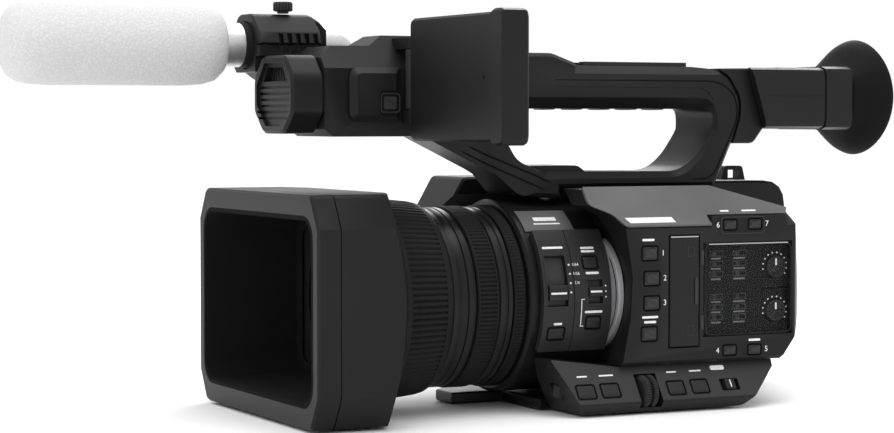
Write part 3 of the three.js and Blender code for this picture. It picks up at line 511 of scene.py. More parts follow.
def outward(obj):
    """Turns every face outwards and joins corners that lie in one place."""
    work = bmesh.new()
    work.from_mesh(obj.data)
    bmesh.ops.remove_doubles(work, verts=work.verts, dist=1e-7)
    bmesh.ops.recalc_face_normals(work, faces=work.faces)
    work.to_mesh(obj.data)
    work.free()


def soften(obj, width, angle=30):
    """Rounds the edges by a width in millimetres, and shades the flats flat."""
    bevel = obj.modifiers.new("bevel", "BEVEL")
    bevel.width = width / 1000
    bevel.segments = 2
    bevel.limit_method = "ANGLE"
    bevel.angle_limit = radians(angle)
    bevel.harden_normals = False
    normals = obj.modifiers.new("normals", "WEIGHTED_NORMAL")
    normals.weight = 80


# ------------------------ carried-over CAD nodes
# Each node's material, and the width that its edges are rounded by.
FINISHES = {
    "lens_hood": (CHARCOAL, 0.7), "lens_barrel": (HOUSING, 0.4), "barrel_housing": (HOUSING, 0.4),
    "barrel_panel": (PANEL, 0.3), "bezel_trim": (TRIM, 0.2), "left_cover": (CHARCOAL, 0.5),
    "top_flank": (FLANK_LIT_GREY, 0.3), "sd_card_door": (DOOR, 0.25), "audio_cover": (SMOKED, 0.0),
    "right_cover": (CHARCOAL, 0.5), "battery": (PANEL, 0.8), "image_sensor_block": (STEEL, 0.3),
    "main_circuit_board": (CIRCUIT, 0.1), "tripod_plate": (BLACK_STEEL, 0.3),
    "control_strip": (STRIP_LIT_FACE, 0.3), "hand_grip": (CHARCOAL, 0.9), "grip_record_button": (RED, 0.3),
    "handle_frame": (CHARCOAL, 0.6), "accessory_shoe": (BLACK_STEEL, 0.2),
    "handle_front_housing": (CHARCOAL, 0.6), "microphone_head": (CHARCOAL, 0.3),
    "monitor_hinge": (PANEL, 0.3), "monitor_housing": (CHARCOAL, 0.6), "monitor_screen": (SCREEN, 0.1),
    "viewfinder_mount": (CHARCOAL, 0.6), "viewfinder_housing": (CHARCOAL, 0.5),
    "microphone_holder": (CHARCOAL, 0.4), "microphone_clamp": (CHARCOAL, 0.4),
    "microphone": (MICROPHONE, 0.3), "nd_filter_slider": (BUTTON, 0.25),
    "focus_mode_switch": (BUTTON, 0.25), "auto_manual_switch": (BUTTON, 0.2),
    "grip_zoom_rocker": (BUTTON, 0.6),
}


def dress(node, material, width):
    """Gives a CAD node its material, and rounds its edges without touching its mesh."""
    obj = NODES[node]
    obj.data.materials.clear()
    obj.data.materials.append(material)
    weld = obj.modifiers.new("weld", "WELD")
    weld.merge_threshold = 1e-6
    flats = obj.modifiers.new("flats", "DECIMATE")
    flats.decimate_type = "DISSOLVE"
    flats.angle_limit = radians(1)
    if width:
        soften(obj, width)


def dress_nodes():
    for node, (material, width) in FINISHES.items():
        dress(node, material, width)


# ------------------------ lens
def hood_inside():
    """The hood's lining: a round-cornered funnel down to a rectangular mask."""
    sections = (
        (-150.06, 62.6, 38.9, 10.2), (-150.16, 61.2, 37.6, 9.4), (-149.2, 60.5, 36.9, 9.2),
        (-140, 56.3, 36.3, 8.6), (-126, 50.0, 34.9, 7.6), (-113, 44.0, 33.3, 6.5), (-112.2, 40.0, 29.5, 5.0),
        (-111.4, 40.0, 29.5, 5.0), (-111.2, 44.4, 34.0, 5.0), (-130, 52.6, 36.1, 6.5),
        (-149, 61.1, 38.0, 8.5),
    )
    Shape().rings([
        [(u, y, LENS_Z + v) for u, v in rounded(2 * half_width, 2 * half_height, radius, 6)]
        for y, half_width, half_height, radius in sections
    ], closed=True).piece("hood_lining", BODY, FLOCK, "charcoal_shell", angle=50)


def dome(radius, crown, bulge, angles):
    """The (radius, along) points of a glass dome, whose crown stands out along the axis by the bulge."""
    turns = [radians(a) for a in angles]
    return [(max(radius * sin(a), CORE), crown + bulge * (1 - cos(a))) for a in turns]


def lens_glass():
    """The front element's dome, and the ring that holds it."""
    radius, foot = 28.8, -92.5
    profile = dome(radius, -100.4, 6.5, range(0, 91, 9)) + [(radius, foot), (CORE, foot)]
    Shape().turned(profile, LENS_AXIS, segments=72).piece(
        "front_element", BODY, GLASS, "optical_glass", ("front_lens_element",), angle=60)
    Shape().turned([
        (30.9, -103), (29.6, -103), (28.95, -99), (28.95, -90), (30.9, -90),
    ], LENS_AXIS, segments=72).piece("front_cell_ring", BODY, HOUSING, "charcoal_shell")


def ribbed_ring(node, ribs, depth, band, profile):
    """A lens ring whose band is cut into ribs all the way round."""
    shape = (0.0, 0.0, 0.0, -0.55, -1.0, -0.55)

    def ripple(i, y):
        inside = band[0] < y < band[1]
        return depth * shape[i % len(shape)] if inside else 0.0

    Shape().turned(profile, LENS_AXIS, segments=ribs * len(shape), ripple=ripple).piece(
        f"{node}_ribs", node, RUBBER, "grip_rubber", (node,), angle=32)


def lens_rings():
    bore = 35.5
    ribbed_ring("focus_ring", 104, 0.75, (-96.9, -80.1), [
        (bore, -100), (43.2, -100), (43.9, -99.3), (43.7, -97.4), (43.6, -97), (43.6, -96.8), (43.1, -90),
        (42.4, -83), (42.1, -80.2), (42.0, -80), (41.6, -78), (40.9, -77), (bore, -77),
    ])
    ribbed_ring("zoom_ring", 132, 0.55, (-63.4, -55.6), [
        (bore, -64.5), (39.1, -64.5), (39.7, -64), (39.75, -63.5), (39.75, -63.3), (39.75, -59.5),
        (39.75, -55.7), (39.75, -55.5), (39.7, -55), (39.1, -54.5), (bore, -54.5),
    ])
    ribbed_ring("iris_ring", 160, 0.4, (-46.3, -42.6), [
        (bore, -47), (39.4, -47), (39.9, -46.5), (39.95, -46.4), (39.95, -46.2), (39.95, -42.7),
        (39.95, -42.5), (39.9, -42.1), (39.5, -41.6), (bore, -41.6),
    ])


def collars():
    """Smooth stepped collars between the rings, with fine turned grooves."""
    front = [(38.55, -76.4)]
    for y in (-75.6, -71.8, -68.6):
        front += [(39.3, y), (39.3, y + 2.2), (38.8, y + 2.5), (38.8, y + 2.9)]
    front += [(39.1, -65.3), (38.55, -65.1)]
    rear = [
        (38.55, -53.9), (39.2, -53.4), (39.2, -51), (38.8, -50.7), (38.8, -50.1), (39.2, -49.8), (39.2, -48),
        (38.55, -47.5),
    ]
    for name, profile in (("front_collar", front), ("rear_collar", rear)):
        Shape().turned(profile, LENS_AXIS, segments=96).piece(name, BODY, HOUSING, "charcoal_shell")


def barrel_plates():
    """The lens control panel's label plate and seam, and the floors, rims and bars of its slots."""
    r = PANEL_RADIUS
    Shape().arc_plate(HOUSING_RADIUS + 0.05, HOUSING_RADIUS + LABEL_RISE, 43, 61, -38, -14).piece(
        "barrel_label_plate", BODY, FLANK_LIT_GREY, "grey_flank", bevel=0.2)
    seam = Shape().arc_plate(r - 0.2, r + 0.04, -28.6, 40.6, -21.75, -21.45, 24)
    seam.piece("panel_seam", BODY, FLOCK, "dark_panel")
    slots = Shape()
    for low, high, y0, y1 in ((-2.6, 24.6, -34.3, -24.9), (-1.7, 10.7, -14.8, -7.9)):
        slots.arc_plate(43.32, 43.5, low, high, y0, y1)
    slots.piece("slot_floors", BODY, PANEL, "dark_panel")
    rims = Shape()
    for low, high, y0, y1 in ((-3.4, 25.4, -35.0, -24.2), (-2.4, 11.4, -15.4, -7.2)):
        for side in (
            (low, low + 0.45, y0, y1, 2), (high - 0.45, high, y0, y1, 2), (low, high, y0, y0 + 0.35),
            (low, high, y1 - 0.35, y1),
        ):
            rims.arc_plate(r + SUNK, r + 0.16, *side)
    rims.piece("slot_rims", BODY, BUTTON, "dark_panel")
    for name, node, low, y0, y1 in (
        ("filter_bar", "nd_filter_slider", 3.6, -33.4, -25.8),
        ("focus_bar", "focus_mode_switch", 4.0, -14.1, -8.5),
    ):
        Shape().arc_plate(r + 0.86, r + 0.98, low, low + 1.0, y0, y1, 2).piece(name, node, WHITE)


def barrel_marks():
    """The panel's printed dots, bracket and fractions, with bars on it and on the label plate."""
    marks = Shape()
    for y, radius, angles in ((-23.2, 0.42, (4.5, 9.5, 14.5, 19.5)), (-6.2, 0.35, (1.5, 4.5, 7.5))):
        for angle in angles:
            marks.prism(disc(radius, 12), on_lens(angle, y), SUNK, PRINT_LIFT)
    for low, high, end, steps in ((-14, 0.6, -17.95, 12), (-14.3, -13.9, -16.6, 2), (0.3, 0.7, -16.6, 2)):
        marks.arc_plate(PANEL_RADIUS + SUNK, PANEL_RADIUS + PRINT_LIFT, low, high, -18.3, end, steps)
    for angle, y, width in (
        (-12.4, -29.2, 4), (29.5, -29.4, 10), (28.9, -12.6, 6.6), (26.9, -12.6, 6.6), (14.6, -12.2, 6.4),
        (-6.4, -12.2, 8.6),
    ):
        marks.bar(width, 1.0, on_lens(angle, y))
    for angle, fraction in ((9.5, "1/4"), (14.5, "1/16"), (19.5, "1/64")):
        marks.text(fraction, 1.9, on_lens(angle, -20.1))
    marks.piece("barrel_marks", BODY, WHITE)
    label = Shape()
    for angle, width, height in ((48.5, 13, 0.8), (52.5, 11, 2.4)):
        label.bar(width, height, on_lens(angle, -26, HOUSING_RADIUS + LABEL_RISE), low=-0.2)
    label.piece("label_bars", BODY, WHITE)


def barrel_buttons():
    joints = Shape()
    for node, angle, y, width in (
        ("iris_button", -18, -29.6, 7.5), ("focus_assist_button", 20.5, -12.6, 6.5),
        ("push_auto_button", -12.5, -12, 6.5),
    ):
        button_frame(joints, on_lens(angle, y), width, 5)
        button_cap(node, on_lens(angle, y), width, 5)
    joints.piece("barrel_button_joints", BODY, FLOCK, "dark_panel")


def trim_groove():
    """A dark line round the face of the bright trim, and a white index dot on the barrel."""
    centre_x, centre_z, radius = 26, 50, 23.5
    arc = [radians(a) for a in range(-44, 45, 8)]
    Shape().tube([
        (centre_x + radius * cos(a), -3.2, centre_z + radius * sin(a)) for a in arc
    ], 0.28).piece("trim_groove", BODY, FLOCK, "bright_trim", angle=60)
    dot = Shape().prism(disc(0.7, 16), on_lens(2, -103.4, 39.5), SUNK, 0.1)
    dot.piece("lens_index_dot", BODY, WHITE)


# ------------------------ left side
def button_frame(shape, place, width, height):
    """The dark joint round a button."""
    outer = rounded(width + 1.5, height + 1.5, 1.3)
    shape.frame(outer, rounded(width + 0.7, height + 0.7, 1.0), place, SUNK, 0.08)


def button_cap(node, place, width, height):
    """A button's cap, whose edges slope down to its seat."""
    rings = [
        [place @ Vector((u, v, n)) for u, v in rounded(width - inset, height - inset, 0.9 - inset / 4)]
        for inset, n in ((0, -1.4), (0, 0.1), (1.9, 0.75))
    ]
    Shape().rings(rings).piece(f"{node}_cap", node, BUTTON, "button_plastic", (node,), bevel=0.12)


def side_buttons():
    """The left wall's buttons, each with its joint, and a numeral to one side."""
    frames = Shape()
    numerals = Shape()
    for numeral, aside in (
        ("1", 6.6), ("2", 6.6), ("3", 6.6), ("", 0), ("4", -6.2), ("5", 6.2), ("6", -6.2), ("7", 6.2),
    ):
        node = f"user_button_{numeral}" if numeral else "display_button"
        low, high = box_mm(node)
        _, y, z = middle_mm(node)
        button_frame(frames, wall(y, z), high.y - low.y, high.z - low.z)
        button_cap(node, wall(y, z), high.y - low.y, high.z - low.z)
        if numeral:
            numerals.text(numeral, 3.4, wall(y + aside, z))
    frames.piece("button_frames", BODY, FLOCK, "button_plastic")
    ledge = Shape()
    ledge.frame(rounded(22.4, 7.6, 1.6), rounded(21.6, 6.8, 1.3), wall(55.4, 79.4), SUNK, 0.3)
    ledge.piece("button_ledge", BODY, PANEL, "charcoal_shell")
    numerals.piece("button_numerals", BODY, WHITE)


def side_legends():
    legends = Shape()
    for y, z, width in ((7.6, 73.9, 6), (8.6, 40.7, 8), (8.6, 38.6, 6), (61.8, 28.9, 6)):
        legends.bar(width, 1.0, wall(y, z))
    for y, width in ((49.4, 4.5), (62, 7.5)):
        legends.bar(width, 1.0, on_flank(y, 8.4))
    label = [(11.2, 1.7), (12, -1.7), (-10.6, -1.7), (-12, 1.7)]
    legends.prism(label, on_flank(9.6, 3.4), SUNK, PRINT_LIFT)
    legends.piece("side_legend_bars", BODY, WHITE)


def card_door_details():
    """A bright strip along the door's top edge as a painted highlight, its finger pull, and two outlined
    marks.
    """
    low, high = box_mm("sd_card_door")
    _, y, z = middle_mm("sd_card_door")
    # Painted highlight: a bright trim strip stands for the light along the door's top edge.
    edge = Shape().prism(rounded(high.y - low.y - 1, 0.5, 0.2), wall(y, high.z - 0.5, DOOR_X), SUNK, 0.12)
    edge.piece("door_edge_highlight", "sd_card_door", TRIM, "bright_trim")
    pull = Shape()
    pull.prism(rounded(1.6, 12, 0.7), wall(high.y - 1.6, z, DOOR_X), SUNK, 0.5, 0.2)
    for mark_z in (low.z + 7, high.z - 7):
        place = wall(low.y + 10.6, mark_z, DOOR_X)
        pull.frame(rounded(3.2, 4.4, 0.5), rounded(2.6, 3.8, 0.4), place, SUNK, 0.1)
    pull.piece("door_pull", "sd_card_door", BUTTON, "dark_panel")


def audio_knob(knob, floor, plate, dots):
    """A knurled knob with its pointer, its well in the plate and its scale of dots."""
    low, high = box_mm(knob)
    _, y, z = middle_mm(knob)
    face = high.x - 0.5

    def knurl(i, along):
        return -0.25 if i % 2 and along < face else 0.0

    Shape().turned([
        (CORE, low.x), (5.1, low.x), (5.15, low.x + 0.6), (5.0, high.x - 0.6), (4.5, high.x - 0.1),
        (4.0, high.x - 0.1), (3.9, face), (CORE, face),
    ], (0, y, z), axis=X, segments=72, ripple=knurl).piece(
        f"{knob}_knurl", knob, BUTTON, "button_plastic", (knob,))
    pointer = Shape().prism(rounded(0.7, 3, 0.3, 3, 0, 2.1), wall(y, z, face), SUNK, 0.25)
    pointer.piece(f"{knob}_pointer", knob, WHITE)
    well, scale = 5.6, 6.2
    # The plate round a well isn't centred on it, so that both plates reach the floor plate's ends.
    above = 0.8 if z > PANEL_Z else -0.4
    plate.frame(rounded(13.2, 20.2, 0.4, 5, 0, above), disc(well), wall(y, z, floor), -1.5, 0)
    for i in range(11):
        a = radians(190 - 22 * i)
        dots.prism(disc(0.36, 10, scale * cos(a), scale * sin(a)), wall(y, z, floor), SUNK, 0.1)


def audio_controls():
    """Under the clear cover: a floor plate, two knobs, and rows of small selectors with their bars."""
    floor = box_mm("audio_cover")[0].x - 1.8
    plate = Shape()
    plate.prism(rounded(32.2, 40.6, 0.4), wall(51.8, PANEL_Z, floor), -1.5, 0)
    dots = Shape()
    for knob in ("audio_level_knob_1", "audio_level_knob_2"):
        audio_knob(knob, floor, plate, dots)
    plate.piece("audio_panel", BODY, AUDIO_FLOOR, "dark_panel")
    dots.piece("audio_scale_dots", BODY, WHITE)
    bank = Shape()
    legends = Shape()
    for z in (67, 62.5, 58, 48, 43.5, 39):
        for y, width in ((44, 5), (56, 6)):
            bank.frame(rounded(7, 2.6, 0.5), rounded(6.2, 1.8, 0.4), wall(y, z, floor), SUNK, 0.5)
            bank.prism(rounded(2.2, 1.6, 0.3), wall(y - 1.6, z, floor), SUNK, 1.2, 0.2)
            legends.bar(width, 0.7, wall(y, z - 2.2, floor), 0.3)
    bank.piece("audio_selectors", BODY, BUTTON, "button_plastic")
    legends.piece("audio_legend_bars", BODY, GREY_INK)


def audio_cover_details():
    """The cover's rim, a bright strip along its top edge as a painted highlight, and its hinge knuckles."""
    low, high = box_mm("audio_cover")
    _, y, z = middle_mm("audio_cover")
    width, height = high.y - low.y, high.z - low.z
    outer = rounded(width - 0.2, height - 0.2, 3)
    rim = Shape().frame(outer, rounded(width - 1.0, height - 1.0, 2.7), wall(y, z, DOOR_X), -0.3, 0.14)
    rim.piece("cover_rim", "audio_cover", HOUSING, "smoked_plastic")
    # Painted highlight: a bright trim strip stands for the light along the cover's top edge.
    edge = Shape().prism(rounded(width - 4, 0.45, 0.2), wall(y, high.z - 0.35, DOOR_X), SUNK, 0.16)
    edge.piece("cover_edge_highlight", "audio_cover", TRIM, "bright_trim")
    hinge = Shape()
    for z in (low.z + 6, high.z - 6):
        knuckle = [(CORE, z - 3), (0.9, z - 3), (0.9, z + 3), (CORE, z + 3)]
        hinge.turned(knuckle, (57.9, 34.6, 0), axis=Z, segments=20)
    hinge.piece("cover_hinge_knuckles", BODY, BUTTON, "dark_panel")


def strip_details():
    """The control strip's buttons and its printed bars."""
    frames = Shape()
    marks = Shape()
    for node, y, z, width, bar in (
        ("gain_button", -24, 10.3, 8.2, 5), ("white_balance_button", -12.2, 10.4, 8.2, 7),
        ("menu_button", 20.2, 10, 7.8, 5), ("shutter_button", 32.2, 10.1, 7.8, 6),
    ):
        button_frame(frames, on_strip(y, z), width, 6)
        button_cap(node, on_strip(y, z), width, 6)
        marks.bar(bar, 0.7, on_strip(y, 16.4), 0.3)
    button_cap("auto_white_balance_button", seat((46, -29.9, 9.5), X, -Y), 7.6, 6.4)
    frames.piece("strip_button_frames", BODY, FLOCK, "button_plastic")
    marks.prism(rounded(7, 2.2, 0.7), on_strip(43.8, 17.2), SUNK, PRINT_LIFT)
    marks.piece("strip_marks", BODY, WHITE)
    switch = on_strip(middle_mm("auto_manual_switch")[1], 10.2)
    Shape().prism(rounded(0.5, 3.6, 0.2, 3), switch, 0.85, 1.0).piece("mode_bar", "auto_manual_switch", WHITE)


def menu_dial():
    """A knurled wheel on edge, with a groove round it."""
    low, high = box_mm("menu_dial")
    x, _, z = middle_mm("menu_dial")
    r = (high.z - low.z) / 2

    def knurl(i, _):
        return -0.45 if i % 2 else 0.0

    Shape().turned([
        (CORE, low.y), (r - 1.4, low.y), (r - 0.5, low.y + 0.5), (r, low.y + 1), (r, low.y + 2.7),
        (r - 0.9, low.y + 3.2), (r - 0.9, low.y + 4), (r, low.y + 4.5), (r, high.y - 1),
        (r - 0.5, high.y - 0.5), (r - 1.4, high.y), (CORE, high.y),
    ], (x, 0, z), segments=80, ripple=knurl).piece(
        "menu_dial_knurl", "menu_dial", BUTTON, "button_plastic", ("menu_dial",))


# ------------------------ handle
def handle_details():
    """Grooves and a fine ridge along each side of the handle and its leg, and ridges for the fingers. The
    grooves are black beads: painted shade.
    """
    groove_line = [
        (-16, 142.9), (68.5, 142.9), (77.2, 137), (79.2, 127), (71.2, 110.4), (65, 98.7), (55, 98.7),
    ]
    ridge_line = [(-16, 140.1), (61.5, 140.1), (66, 134.5)]
    # Painted shade: black beads stand for the shade inside the grooves.
    grooves = Shape()
    ridges = Shape()
    for side in (1, -1):
        x = side * HANDLE_X
        grooves.tube([(x, y, z) for y, z in eased(groove_line, 7)], 0.35)
        ridges.tube([(x, y, z) for y, z in eased(ridge_line, 5)], 0.4)
        for (y0, z0), (y1, z1) in (((-55, 113.9), (-18, 97.8)), ((-58, 111.6), (-21, 94.6))):
            spots = [(y0 + (y1 - y0) * t / 12, z0 + (z1 - z0) * t / 12) for t in range(13)]
            grooves.tube([(side * leg_half_width(y), y, z) for y, z in spots], 0.4)
    grooves.piece("handle_groove_shade", BODY, FLOCK, "charcoal_shell", angle=60)
    ridges.piece("handle_ridges", BODY, HOUSING, "charcoal_shell", angle=60)
    seats = Shape()
    half = 11.4
    across = [-half + 2 * half * k / 8 for k in range(9)]
    for i in range(6):
        y = -26 + i * 14
        seats.tube([(x, y, 131.0 - 0.2 * cos(pi * x / (2 * half))) for x in across], 1.1, 10)
    seats.piece("finger_ridges", BODY, RUBBER, "grip_rubber", angle=60)


def leg_half_width(y):
    """Half the width of the handle's leg, which narrows towards the front."""
    wide = HANDLE_X + 1
    return max(LEG_X, min(HANDLE_X, wide + (y + 22) * (wide - LEG_X) / 24))


def eased(points, reach, steps=6):
    """A line whose corners are rounded, each curve starting at most reach before its corner."""
    points = [Vector(p) for p in points]
    line = [points[0]]
    for before, here, after in zip(points, points[1:], points[2:]):
        back, ahead = before - here, after - here
        start = here + back.normalized() * min(reach, back.length * 0.45)
        end = here + ahead.normalized() * min(reach, ahead.length * 0.45)
        for i in range(steps + 1):
            t = i / steps
            line.append(start * (1 - t) ** 2 + here * 2 * t * (1 - t) + end * t * t)
    return line + [points[-1]]


def smooth_line(points, steps=4):
    """A line through the points with its corners eased (Catmull-Rom)."""
    padded = [points[0]] + list(points) + [points[-1]]
    line = []
    for a, b, c, d in zip(padded, padded[1:], padded[2:], padded[3:]):
        for i in range(steps):
            t = i / steps
            line.append(tuple(
                0.5 * (2 * q + (r - p) * t
                       + (2 * p - 5 * q + 4 * r - s) * t * t
                       + (3 * q - p - 3 * r + s) * t ** 3)
                for p, q, r, s in zip(a, b, c, d)
            ))
    return line + [points[-1]]


def front_housing_details():
    """A button in its frame on the side, and bars across the microphone grille."""
    place = wall(-98, 132.5, 23.2)
    shape = Shape()
    shape.frame(rounded(9, 8.4, 1.6), rounded(8, 7.4, 1.2), place, SUNK, 0.35)
    shape.prism(rounded(6, 5.4, 1), place, SUNK, 0.6, 0.2)
    shape.piece("housing_button_frame", BODY, BUTTON, "button_plastic")
    grille = Shape()
    for x in range(-12, 13, 3):
        grille.tube([(x, -138.9, 142), (x * 0.75, -138.9, 147)], 0.45, 6)
    grille.piece("microphone_grille_bars", BODY, FLOCK, "charcoal_shell")


# ------------------------ monitor
def monitor_details():
    """The plain back carries one small mark, and the screen has a dark border."""
    low, high = box_mm("monitor_housing")
    place = seat((high.x - 17, low.y + 0.6, middle_mm("monitor_housing")[2]), X, -Y)
    mark = Shape().prism([(-1.2, -1.3), (1.2, 0), (-1.2, 1.3)], place, SUNK, 0.12)
    mark.piece("monitor_mark", "monitor", FLOCK, "dark_panel")
    low, high = box_mm("monitor_screen")
    x, _, z = middle_mm("monitor_screen")
    width, height = high.x - low.x, high.z - low.z
    outer = rounded(width + 0.2, height + 0.2, 0.5)
    border = Shape().frame(outer, rounded(width - 3, height - 3, 0.5), seat((x, high.y, z), -X, Y), 0.0, 0.12)
    border.piece("screen_border", "monitor", FLOCK, "dark_panel")


# ------------------------ viewfinder
def superellipse(half_width, half_height, power, steps=48):
    points = []
    for i in range(steps):
        a = 2 * pi * i / steps
        c, s = cos(a), sin(a)
        points.append((
            half_width * copysign(abs(c) ** (2 / power), c),
            half_height * copysign(abs(s) ** (2 / power), s),
        ))
    return points


def eyecup():
    """A flared rubber cup: a flat sleeve that opens to a round rim, which reaches back at both sides."""
    front, depth, saddle = 139.8, 16, 3.2
    sections = [
        (front, 20.6, 13.6, 3.6), (141.0, 21.0, 14.4, 3.2), (144.4, 22.2, 18.8, 2.4),
        (148.4, 24.6, 24.2, 2.1), (152.2, 26.4, 26.6, 2.0), (155.4, 27.4, 27.5, 2.0),
        (155.9, 26.9, 27.0, 2.0), (152.2, 25.3, 25.3, 2.0), (148.4, 22.8, 22.0, 2.2),
        (145, 17.6, 16.4, 2.1), (142.5, 13.8, 13.0, 2.0), (front, 13.2, 12.6, 2.0),
    ]
    rings = []
    for y, half_width, half_height, power in sections:
        flare = (y - front) / depth
        ring = []
        for u, v in superellipse(half_width, half_height, power):
            sideways = (u / half_width) ** 2
            ring.append((u, y + saddle * flare * sideways, CUP_Z + v))
        rings.append(ring)
    cup = Shape().rings(rings, closed=True).piece(
        "eyecup_rubber", "viewfinder", CUP, "grip_rubber", ("eyecup",), angle=60, subdivide=1)
    radius, foot = 10.6, 132
    profile = [(CORE, foot), (radius, foot)] + dome(radius, 137.5, -2.2, range(90, -1, -10))
    Shape().turned(profile, (0, 0, CUP_Z), segments=48).piece(
        "eyepiece_lens", "viewfinder", GLASS, "optical_glass", angle=60)


def viewfinder_details():
    """A shallow facet line runs along each side of the tube."""
    x = box_mm("viewfinder_housing")[1].x + 0.02
    beads = Shape()
    for side in (1, -1):
        beads.tube([(side * x, y, 136.5) for y in (93, 100, 112, 123)], 0.22, 6)
    beads.piece("tube_facet_line", "viewfinder", HOUSING, "charcoal_shell")


# ------------------------ microphone
def windscreen():
    """A foam sleeve with a slightly uneven skin."""
    profile = [
        (CORE, -248.8), (6, -248.6), (10.5, -247.8), (14, -245.6), (16.4, -242), (17.4, -237), (17.8, -229),
        (17.8, -212), (17.8, -195), (17.8, -178), (17.7, -168), (17.2, -161), (15.6, -155.6), (12.8, -152.5),
        (10.2, -151.9), (10.0, -154), (10.0, -200.4), (CORE, -200.4),
    ]
    skin = Shape().turned(profile, MIC_AXIS, segments=96)
    for vert in skin.verts:
        away = Vector((vert.x, 0, vert.z)) - Vector(MIC_AXIS)
        if away.length > 10.5:
            vert += away.normalized() * 0.16 * noise.noise(vert * 0.35)
    sleeve = skin.piece("foam_windscreen", BODY, FOAM, "foam", ("windscreen",), angle=80)


def microphone_details():
    """Rubber rings round the microphone in its bracket, and the clamp's knurled screw."""
    rings = Shape()
    for y in (-143.4, -110):
        rings.turned([(9.6, y), (10.05, y + 0.3), (10.05, y + 3.7), (9.6, y + 4)], MIC_AXIS, segments=56)
    rings.piece("microphone_rubber_rings", BODY, RUBBER, "grip_rubber")
    low, high = box_mm("clamp_screw")
    x, y, _ = middle_mm("clamp_screw")

    def knurl(i, z):
        return -0.35 if i % 4 < 2 and z > low.z + 0.9 else 0.0

    Shape().turned([
        (CORE, low.z), (2.5, low.z), (2.5, low.z + 0.8), (3.9, low.z + 1.0), (4.25, low.z + 1.5),
        (4.25, high.z - 0.7), (3.8, high.z), (CORE, high.z),
    ], (x, y, 0), axis=Z, segments=72, ripple=knurl).piece(
        "clamp_screw_knurl", "clamp_screw", BUTTON, "button_plastic", ("clamp_screw",))


# ------------------------ grip side
def strap():
    """The hand strap: a soft padded loop, thickest at its middle, with two lines of stitching."""
    low, high = box_mm("hand_strap")
    line = smooth_line([
        (-64, -10.4), (-67.6, -9.8), (-74.5, -5.4), (-81.6, 3.2), (-86.4, 12), (-87.9, 24), (-88, 36),
        (-88, 50), (-87.9, 60), (-85.6, 71), (-82, 81), (-77.6, 89.2), (-70, 91.8), (-58, 92.7),
    ])
    z0, z1 = low.z + 0.6, high.z - 0.6
    halves = [1.2 + 0.65 * sin(pi * k / (len(line) - 1)) for k in range(len(line))]
    rings = []
    for k, (x, y) in enumerate(line):
        before, after = line[max(k - 1, 0)], line[min(k + 1, len(line) - 1)]
        ahead = Vector((after[0] - before[0], after[1] - before[1], 0)).normalized()
        out = ahead.cross(Z)
        rings.append([
            Vector((x, y, (z0 + z1) / 2 + u)) + out * v
            for u, v in rounded(z1 - z0, 2 * halves[k], halves[k] * 0.9, 4)
        ])
    band = Shape().rings(rings).piece(
        "padded_strap", BODY, WEBBING, "strap_fabric", ("hand_strap",), angle=70)
    thread = Shape()
    for z in (z0 + 3, z1 - 3):
        for k in range(6, len(line) - 6):
            x, y = line[k]
            ahead = Vector((line[k + 1][0] - x, line[k + 1][1] - y, 0))
            out = ahead.normalized().cross(Z)
            sign = -1 if out.x > 0 else 1
            start = Vector((x, y, z)) + out * sign * (halves[k] + 0.05)
            thread.tube([start + ahead * 0.15, start + ahead * 0.5, start + ahead * 0.8], 0.2, 6)
    thread.piece("strap_stitching", BODY, GREY_INK, "strap_fabric", angle=60)


def grip_details():
    low = box_mm("hand_grip")[0]
    place = seat((low.x, middle_mm("hand_grip")[1], 54), -Y, -X)
    pad = Shape().prism(rounded(58, 30, 8, 8), place, -0.4, 0.35, 0.3)
    pad.piece("grip_pad", BODY, GRIP_SKIN, "grip_rubber")


def input_details():
    """Each microphone input has three pins in an insulator, and a steel rim."""
    pins = Shape()
    bodies = Shape()
    rims = Shape()
    for z in (68, 88):
        place = seat((-50.2, -24.5, z), -Y, -X)
        bodies.prism(disc(8.2, 32), place, 0.2, 1.4, 0.3)
        for a in (90, 210, 330):
            u, v = 3.6 * cos(radians(a)), 3.6 * sin(radians(a))
            pins.prism(disc(1.0, 14, u, v), place, 1.2, 8, 0.3)
        rims.frame(disc(9.6, 40), disc(8.75, 40), seat((-62, -24.5, z), -Y, -X), -0.2, 0.5)
    bodies.piece("input_insulators", BODY, BUTTON, "button_plastic")
    pins.piece("input_pins", BODY, STEEL, "steel")
    rims.piece("input_rims", BODY, BLACK_STEEL, "steel")


def rear_details():
    """Finger ridges across the battery's back."""
    low, high = box_mm("battery")
    ridges = Shape()
    for i in range(5):
        z = high.z - 12 - i * 2.4
        ridges.tube([(low.x + 7 + k * (high.x - low.x - 14) / 4, high.y - 0.15, z) for k in range(5)], 0.5)
    ridges.piece("battery_ridges", "battery", PANEL, "dark_panel", angle=60)


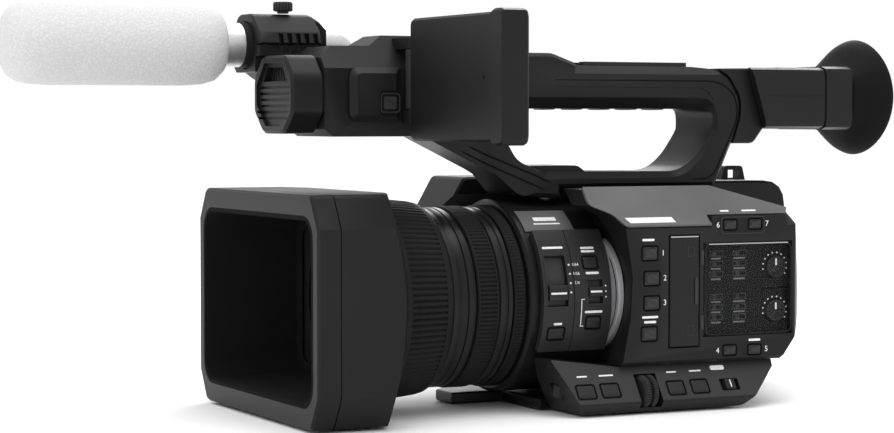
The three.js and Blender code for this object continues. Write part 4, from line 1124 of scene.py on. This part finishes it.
# ------------------------ studio
def stage_floor():
    """A pale disc, whose rings of faces grow wider outwards."""
    mesh = bpy.data.meshes.new("floor")
    rings, spokes, reach = 12, 48, 9.0
    verts = [(0, 0, 0)]
    faces = []
    for k in range(1, rings + 1):
        for i in range(spokes):
            a = 2 * pi * i / spokes
            radius = reach * (k / rings) ** 2
            verts.append((radius * cos(a), radius * sin(a), 0))
    for i in range(spokes):
        faces.append((0, 1 + i, 1 + (i + 1) % spokes))
    for k in range(rings - 1):
        a, b = 1 + k * spokes, 1 + (k + 1) * spokes
        faces += [(a + i, b + i, b + (i + 1) % spokes, a + (i + 1) % spokes) for i in range(spokes)]
    mesh.from_pydata(verts, [], faces)
    floor = new_object("floor", mesh)
    just_under = -0.0005
    floor.location.z = just_under
    material, tree, shader = principled("pale_floor", 0.7, specular=0.2)
    tint(tree, shader, object_noise(tree, 3, 2), [(0.3, (0.86, 0.86, 0.86)), (0.7, (0.89, 0.89, 0.89))])
    mesh.materials.append(material)


def lights():
    """A white surround, a broad soft sun, and three soft boxes that face the object."""
    world = bpy.data.worlds.new("studio_world")
    bpy.context.scene.world = world
    world.use_nodes = True
    settle(world.node_tree.nodes["Background"], {"Color": (1, 1, 1, 1), "Strength": 1.0})
    sun = bpy.data.lights.new("soft_sun", "SUN")
    sun.energy = 1.1
    sun.angle = radians(60)
    sky = new_object("soft_sun", sun)
    sky.rotation_euler = (radians(12), radians(10), 0)
    aim = Vector((0, 0, 0.08))
    for name, place, size, power in (
        ("front_left", (0.5, -1.6, 0.9), 1.2, 2), ("overhead", (0.1, 0.2, 1.6), 1.0, 8),
        ("back_right", (-1.1, 0.9, 1.0), 1.0, 12),
    ):
        data = bpy.data.lights.new(name, "AREA")
        data.size = size
        data.energy = power
        light = new_object(name, data)
        light.location = place
        light.rotation_euler = (aim - Vector(place)).to_track_quat("-Z", "Y").to_euler()


def view_camera():
    """The camera at the front left, looking a little down."""
    data = bpy.data.cameras.new("camera")
    data.lens = 95.56
    data.sensor_width = 36
    camera = new_object("camera", data)
    turn, dip = radians(26), radians(2.353)
    ahead = Vector((-cos(turn) * cos(dip), sin(turn) * cos(dip), -sin(dip)))
    camera.location = (0.9327, -0.5150, 0.1257)
    camera.rotation_euler = ahead.to_track_quat("-Z", "Y").to_euler()
    bpy.context.scene.camera = camera
    bpy.context.scene.view_settings.view_transform = "Standard"


dress_nodes()
hood_inside()
lens_glass()
lens_rings()
collars()
barrel_plates()
barrel_marks()
barrel_buttons()
trim_groove()
side_buttons()
side_legends()
card_door_details()
audio_controls()
audio_cover_details()
strip_details()
menu_dial()
handle_details()
front_housing_details()
monitor_details()
eyecup()
viewfinder_details()
windscreen()
microphone_details()
strap()
grip_details()
input_details()
rear_details()
stage_floor()
lights()
view_camera()
